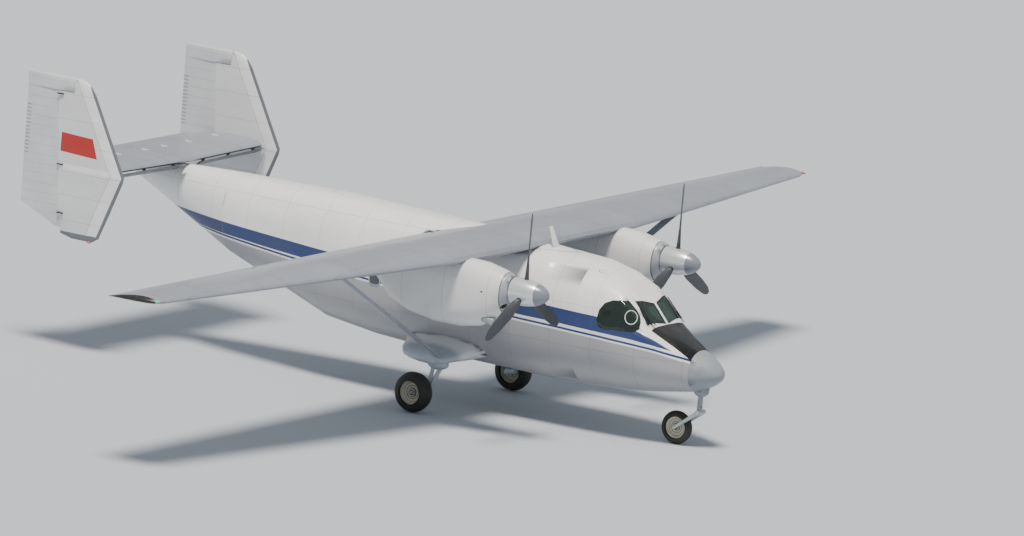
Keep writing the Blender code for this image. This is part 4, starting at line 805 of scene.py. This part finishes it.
def cowl_colours(tree, x, y, z):
    """White with soot behind the exhausts, growing towards the rear, and the bare front band."""
    place = add(tree, "CombineXYZ", {}, {0: x, 1: y, 2: z}).outputs[0]
    smoke = add(tree, "TexNoise", {"Scale": 2.2, "Detail": 6.0}, {"Vector": place}).outputs[0]
    behind = add(
        tree, "MapRange", {"From Min": 3.0, "From Max": 1.2, "To Max": 0.30}, {"Value": x}
    ).outputs[0]
    share = add(tree, "Math", {"operation": "MULTIPLY"}, {0: smoke, 1: behind}).outputs[0]
    colour = add(
        tree, "Mix", {"data_type": "RGBA", 6: tint("E4E5E6"), 7: tint("77746F")}, {0: share}
    ).outputs[2]
    front = add(tree, "Math", {"operation": "GREATER_THAN", 1: COWL_JOINT_X}, {0: x}).outputs[0]
    colour = add(tree, "Mix", {"data_type": "RGBA", 7: tint("A3A9B1")}, {0: front, 6: colour}).outputs[2]
    joint = add(tree, "Math", {"operation": "COMPARE", 1: COWL_JOINT_X, 2: 0.008}, {0: x}).outputs[0]
    return add(tree, "Mix", {"data_type": "RGBA", 7: tint("3E4146")}, {0: joint, 6: colour}).outputs[2]


lip_metal, tree, shader, place, axes = start_finish("polished_aluminium_intake_lips")
polish = add(tree, "TexNoise", {"Scale": 60.0, "Detail": 3.0}, {"Vector": place}).outputs[0]
polish_rough = add(tree, "MapRange", {"To Min": 0.18, "To Max": 0.34}, {"Value": polish})
tree.links.new(polish_rough.outputs[0], shader.inputs["Roughness"])
shader.inputs["Base Color"].default_value = tint("C9CED3")
shader.inputs["Metallic"].default_value = 0.8

cowl_enamel = sheet_enamel(
    "white_enamel_on_cowling", cowl_colours, (("X", 0.86, 2.50),), gloss=0.3, grime=0.14
)
# The lips are drawn ahead of the cowl, at this x, and laid back on it
LIPS_DRAWN_AT_X, INTAKE_MIDDLE, LIP_RADIUS, LIP_TUBE = 4.2, (2.60, 2.36), 0.094, 0.012
COOLER_MIDDLE, COOLER_RADIUS = (2.785, 2.40), 0.055

# Black for the cooler mouths, scoop mouths and vent louvres: painted shade standing in for the dark ducts
# behind the openings
opening_shade_black = mottled_finish("black_painted_shade_in_openings", "0C0C0D", "232220", 25.0, 5.0, 0.75)[0]
scoop_green = mottled_finish("grey_green_enamel_on_scoops", "8E9B9A", "A5AFAF", 20.0, 5.0, 0.4)[0]

# name, foot and head on the port side, size at the foot, size at the head, finish and slot
COWL_PARTS = (
    (
        "cooler_scoop_", (3.23, 2.79, 2.125), (3.48, 2.77, 2.085), (0.12, 0.10), (0.17, 0.13),
        scoop_green, "white_skin",
    ),
    (
        "scoop_mouth_", (3.46, 2.77, 2.085), (3.484, 2.77, 2.085), (0.125, 0.09), (0.125, 0.09),
        opening_shade_black, "dark_strip",
    ),
    (
        "vent_louvre_", (3.20, 2.945, 2.612), (3.29, 2.952, 2.606), (0.03, 0.045), (0.02, 0.02),
        opening_shade_black, "dark_strip",
    ),
)

for side_name, side in SIDES:
    cowl = skin("nacelle_" + side_name, cowl_enamel)
    chin = mirrored((LIPS_DRAWN_AT_X, *INTAKE_MIDDLE), side)
    rim_on(
        "intake_lip_" + side_name, cowl, chin, (LIP_RADIUS, LIP_RADIUS), (1, 0, 0), LIP_TUBE,
        lip_metal,
    )
    cooler = mirrored((LIPS_DRAWN_AT_X, *COOLER_MIDDLE), side)
    rim_on(
        "cooler_lip_" + side_name, cowl, cooler, (COOLER_RADIUS, COOLER_RADIUS), (1, 0, 0), 0.010,
        scoop_green,
    )
    # A black disc on the cowl fills the cooler's mouth as painted shade for the duct behind it
    bpy.ops.mesh.primitive_circle_add(
        vertices=20, radius=COOLER_RADIUS, fill_type="NGON", location=cooler, rotation=(0, math.pi / 2, 0)
    )
    mouth = bpy.context.active_object
    mouth.name = "cooler_mouth_" + side_name
    bpy.ops.object.transform_apply(location=True, rotation=True, scale=True)
    bpy.ops.object.mode_set(mode="EDIT")
    bpy.ops.mesh.select_all(action="SELECT")
    bpy.ops.mesh.inset(thickness=COOLER_RADIUS * 0.5)
    bpy.ops.mesh.poke()
    bpy.ops.object.mode_set(mode="OBJECT")
    lay_on(mouth, cowl, "x", 0.003)
    thicken(mouth, 0.006)
    settle(mouth, (opening_shade_black,))
    for name, foot, head, foot_size, head_size, finish, slot in COWL_PARTS:
        tapered_bar(
            name + side_name, mirrored(foot, side), mirrored(head, side), foot_size, head_size, finish
        )

cast_iron, tree, shader = mottled_finish("heat_stained_cast_iron", "3E3B39", "5A514A", 14.0, 6.0, 0.6)[:3]
shader.inputs["Metallic"].default_value = 0.7
for node in ("engine_left", "engine_right"):
    skin(node, cast_iron)

# Propellers and spinners
# Three forged blades in matt dark grey, and a spun aluminium spinner: polished behind, with a grey
# enamelled tip.
blade_paint, tree, shader, place, axes = start_finish("matt_dark_grey_blade_paint")
scuff = add(tree, "TexNoise", {"Scale": 20.0, "Detail": 7.0, "Roughness": 0.7}, {"Vector": place}).outputs[0]
colour = add(tree, "Mix", {"data_type": "RGBA", 6: tint("3A3D42"), 7: tint("565A60")}, {0: scuff}).outputs[2]
tree.links.new(colour, shader.inputs["Base Color"])
shader.inputs["Roughness"].default_value = 0.42
shader.inputs["Metallic"].default_value = 0.3
bump = add(tree, "Bump", {"Strength": 0.06, "Distance": 0.001}, {"Height": scuff})
tree.links.new(bump.outputs[0], shader.inputs["Normal"])
for node in ("propeller_left", "propeller_right"):
    skin(node, blade_paint)

TIP_ENAMEL_FROM_X = 4.20
spun, tree, shader, place, axes = start_finish("spun_aluminium_with_enamelled_tip")
tip = add(tree, "Math", {"operation": "GREATER_THAN", 1: TIP_ENAMEL_FROM_X}, {0: axes[0]}).outputs[0]
colour = add(tree, "Mix", {"data_type": "RGBA", 6: tint("E3E7EA"), 7: tint("868C96")}, {0: tip}).outputs[2]
tree.links.new(colour, shader.inputs["Base Color"])
metal = add(tree, "MapRange", {"To Min": 0.55, "To Max": 0.15}, {"Value": tip})
tree.links.new(metal.outputs[0], shader.inputs["Metallic"])
turning = add(
    tree, "TexWave", {"bands_direction": "X", "Scale": 60.0, "Distortion": 0.4}, {"Vector": place}
).outputs[1]
turned = add(tree, "MapRange", {"To Min": 0.22, "To Max": 0.34}, {"Value": turning})
tree.links.new(turned.outputs[0], shader.inputs["Roughness"])
for node in ("spinner_left", "spinner_right"):
    skin(node, spun, crease=40)

# Stub wings and landing gear
# The fixed gear hangs from two faired stub wings: white on top, pale blue-grey round the leg's root.
# Legs and forks are enamelled steel, the wheels cast and painted cream, the tyres plain ribbed rubber.
def stub_colours(tree, x, y, z):
    """White, turning to the leg's pale blue-grey at the lobe."""
    across = add(tree, "Math", {"operation": "ABSOLUTE"}, {0: y}).outputs[0]
    lobe = add(tree, "MapRange", {"From Min": 1.12, "From Max": 1.26}, {"Value": across}).outputs[0]
    return add(tree, "Mix", {"data_type": "RGBA", 6: tint("E4E6E8"), 7: tint("AEBAC4")}, {0: lobe}).outputs[2]


stub_enamel = sheet_enamel("white_enamel_on_stub_wing", stub_colours, (), gloss=0.26, grime=0.14)
for node in ("stub_wing_left", "stub_wing_right"):
    skin(node, stub_enamel, crease=40)

gear_paint, tree, shader, place, axes = start_finish("pale_enamel_on_gear_steel")
oil = add(tree, "TexNoise", {"Scale": 16.0, "Detail": 6.0}, {"Vector": place}).outputs[0]
oily = add(tree, "MapRange", {"From Min": 0.5, "From Max": 0.8, "To Max": 0.5}, {"Value": oil}).outputs[0]
colour = add(tree, "Mix", {"data_type": "RGBA", 6: tint("B4C0C6"), 7: tint("5F625F")}, {0: oily}).outputs[2]
tree.links.new(colour, shader.inputs["Base Color"])
shader.inputs["Roughness"].default_value = 0.33
shader.inputs["Metallic"].default_value = 0.25
for node in ("main_leg_left", "main_leg_right", "nose_fork"):
    skin(node, gear_paint, crease=40)


def from_axle(tree, axes, hub_x, hub_z):
    """The distance from a wheel's axle."""
    run = add(tree, "Math", {"operation": "SUBTRACT", 1: hub_x}, {0: axes[0]}).outputs[0]
    rise = add(tree, "Math", {"operation": "SUBTRACT", 1: hub_z}, {0: axes[2]}).outputs[0]
    flat = add(tree, "CombineXYZ", {}, {0: run, 1: rise}).outputs[0]
    return add(tree, "VectorMath", {"operation": "LENGTH"}, {0: flat}).outputs["Value"]


def tyre_rubber(name, hub_x, radius, side_y):
    """Vulcanised rubber: sooty black, with four ribs round the tread, their grooves darkened as painted
    shade, and dust on the sidewall.
    """
    finish, tree, shader, place, axes = start_finish(name)
    out = from_axle(tree, axes, hub_x, radius)
    across = add(tree, "Math", {"operation": "ABSOLUTE"}, {0: axes[1]}).outputs[0]
    aside = add(tree, "Math", {"operation": "SUBTRACT", 1: side_y}, {0: across}).outputs[0]
    groove = repeated_lines(tree, aside, 0.044, 0.008, 0.018)
    tread = add(tree, "Math", {"operation": "GREATER_THAN", 1: radius * 0.95}, {0: out}).outputs[0]
    cut = add(tree, "Math", {"operation": "MULTIPLY"}, {0: groove, 1: tread}).outputs[0]
    dust = add(tree, "TexNoise", {"Scale": 22.0, "Detail": 6.0}, {"Vector": place}).outputs[0]
    colour = add(
        tree, "Mix", {"data_type": "RGBA", 6: tint("17171A"), 7: tint("35332F")}, {0: dust}
    ).outputs[2]
    # The grooves are darkened as painted shade
    colour = add(tree, "Mix", {"data_type": "RGBA", 7: tint("060607")}, {0: cut, 6: colour}).outputs[2]
    tree.links.new(colour, shader.inputs["Base Color"])
    height = add(tree, "Math", {"operation": "SUBTRACT"}, {0: dust, 1: cut}).outputs[0]
    bump = add(tree, "Bump", {"Strength": 0.5, "Distance": 0.008}, {"Height": height})
    tree.links.new(bump.outputs[0], shader.inputs["Normal"])
    shader.inputs["Roughness"].default_value = 0.62
    return finish


def wheel_cream(name, hub_x, hub_z, ring_scale):
    """Cream enamel on a cast wheel: darker rings painted as shade where the casting steps, brake dust, and a
    dark hub.
    """
    finish, tree, shader, place, axes = start_finish(name)
    out = from_axle(tree, axes, hub_x, hub_z)
    dust = add(tree, "TexNoise", {"Scale": 18.0, "Detail": 6.0}, {"Vector": place}).outputs[0]
    colour = add(
        tree, "Mix", {"data_type": "RGBA", 6: tint("D6D2C2"), 7: tint("B5AF9C")}, {0: dust}
    ).outputs[2]
    # The rings are painted shade where the casting steps
    for radius, width, code in ((0.172, 0.006, "8F8A7B"), (0.118, 0.008, "7E7A6D"), (0.078, 0.007, "6A665C")):
        step_shade_ring = add(
            tree, "Math", {"operation": "COMPARE", 1: radius * ring_scale, 2: width}, {0: out}
        ).outputs[0]
        colour = add(tree, "Mix", {"data_type": "RGBA", 7: tint(code)}, {0: step_shade_ring, 6: colour}).outputs[2]
    hub = add(tree, "Math", {"operation": "LESS_THAN", 1: 0.052 * ring_scale}, {0: out}).outputs[0]
    colour = add(tree, "Mix", {"data_type": "RGBA", 7: tint("4A453E")}, {0: hub, 6: colour}).outputs[2]
    tree.links.new(colour, shader.inputs["Base Color"])
    shader.inputs["Roughness"].default_value = 0.42
    bump = add(tree, "Bump", {"Strength": 0.12, "Distance": 0.003}, {"Height": dust})
    tree.links.new(bump.outputs[0], shader.inputs["Normal"])
    return finish


MAIN_HUB_X, MAIN_RADIUS, HALF_TRACK = 1.345, 0.36, 1.70
NOSE_HUB_X, NOSE_RADIUS, NOSE_RING_SCALE = 5.725, 0.2975, 0.86
main_rubber = tyre_rubber("ribbed_rubber_main_tyres", MAIN_HUB_X, MAIN_RADIUS, HALF_TRACK)
main_cream = wheel_cream("cream_enamel_main_wheels", MAIN_HUB_X, MAIN_RADIUS, 1.0)
for side_name in ("left", "right"):
    skin("main_wheel_" + side_name + "_tyre", main_rubber, crease=40)
    skin("main_wheel_" + side_name + "_rim", main_cream, crease=30)
nose_rubber = tyre_rubber("ribbed_rubber_nose_tyre", NOSE_HUB_X, NOSE_RADIUS, 0.0)
nose_cream = wheel_cream("cream_enamel_nose_wheel", NOSE_HUB_X, NOSE_RADIUS, NOSE_RING_SCALE)
skin("nose_wheel_tyre", nose_rubber, crease=40)
skin("nose_wheel_rim", nose_cream, crease=30)

# Floor, light and camera
# A plain pale floor under soft studio light, seen from the photograph's angle.
bpy.ops.mesh.primitive_plane_add(size=1400, location=(0, 0, -0.002))
floor = bpy.context.active_object
floor.name = "floor"
floor_paint, tree, shader, place, axes = start_finish("matt_pale_floor")
shader.inputs["Base Color"].default_value = tint("BCC3CB")
shader.inputs["Roughness"].default_value = 0.85
floor.data.materials.append(floor_paint)
floor.select_set(False)

world = bpy.data.worlds.new("soft_studio")
bpy.context.scene.world = world
world.use_nodes = True
world.node_tree.nodes["Background"].inputs["Color"].default_value = tint("DDE3EA")
world.node_tree.nodes["Background"].inputs["Strength"].default_value = 0.55

key = bpy.data.lights.new("key", "SUN")
key.energy = 4.6
key.angle = math.radians(14)
key.color = tint("FFF6EA")[:3]
key_light = bpy.data.objects.new("key", key)
key_light.rotation_euler = Vector((0.12, -0.34, 1.0)).to_track_quat("Z", "Y").to_euler()
bpy.context.collection.objects.link(key_light)

camera = bpy.data.cameras.new("camera")
camera.lens = 545.7
camera.sensor_width = 36
camera.clip_start = 1
camera.clip_end = 2500
view = bpy.data.objects.new("camera", camera)
CAMERA_PLACE = (137.0233, -231.7829, 50.0656)
right = Vector((0.85274897, 0.51464037, 0.089244))
down = Vector((0.16578562, -0.10465855, -0.98059253))
forward = Vector((-0.49531236, 0.85099464, -0.17456744))
turn = Matrix((right, -down, -forward)).transposed()
view.matrix_world = Matrix.Translation(CAMERA_PLACE) @ turn.to_4x4()
bpy.context.collection.objects.link(view)
bpy.context.scene.camera = view
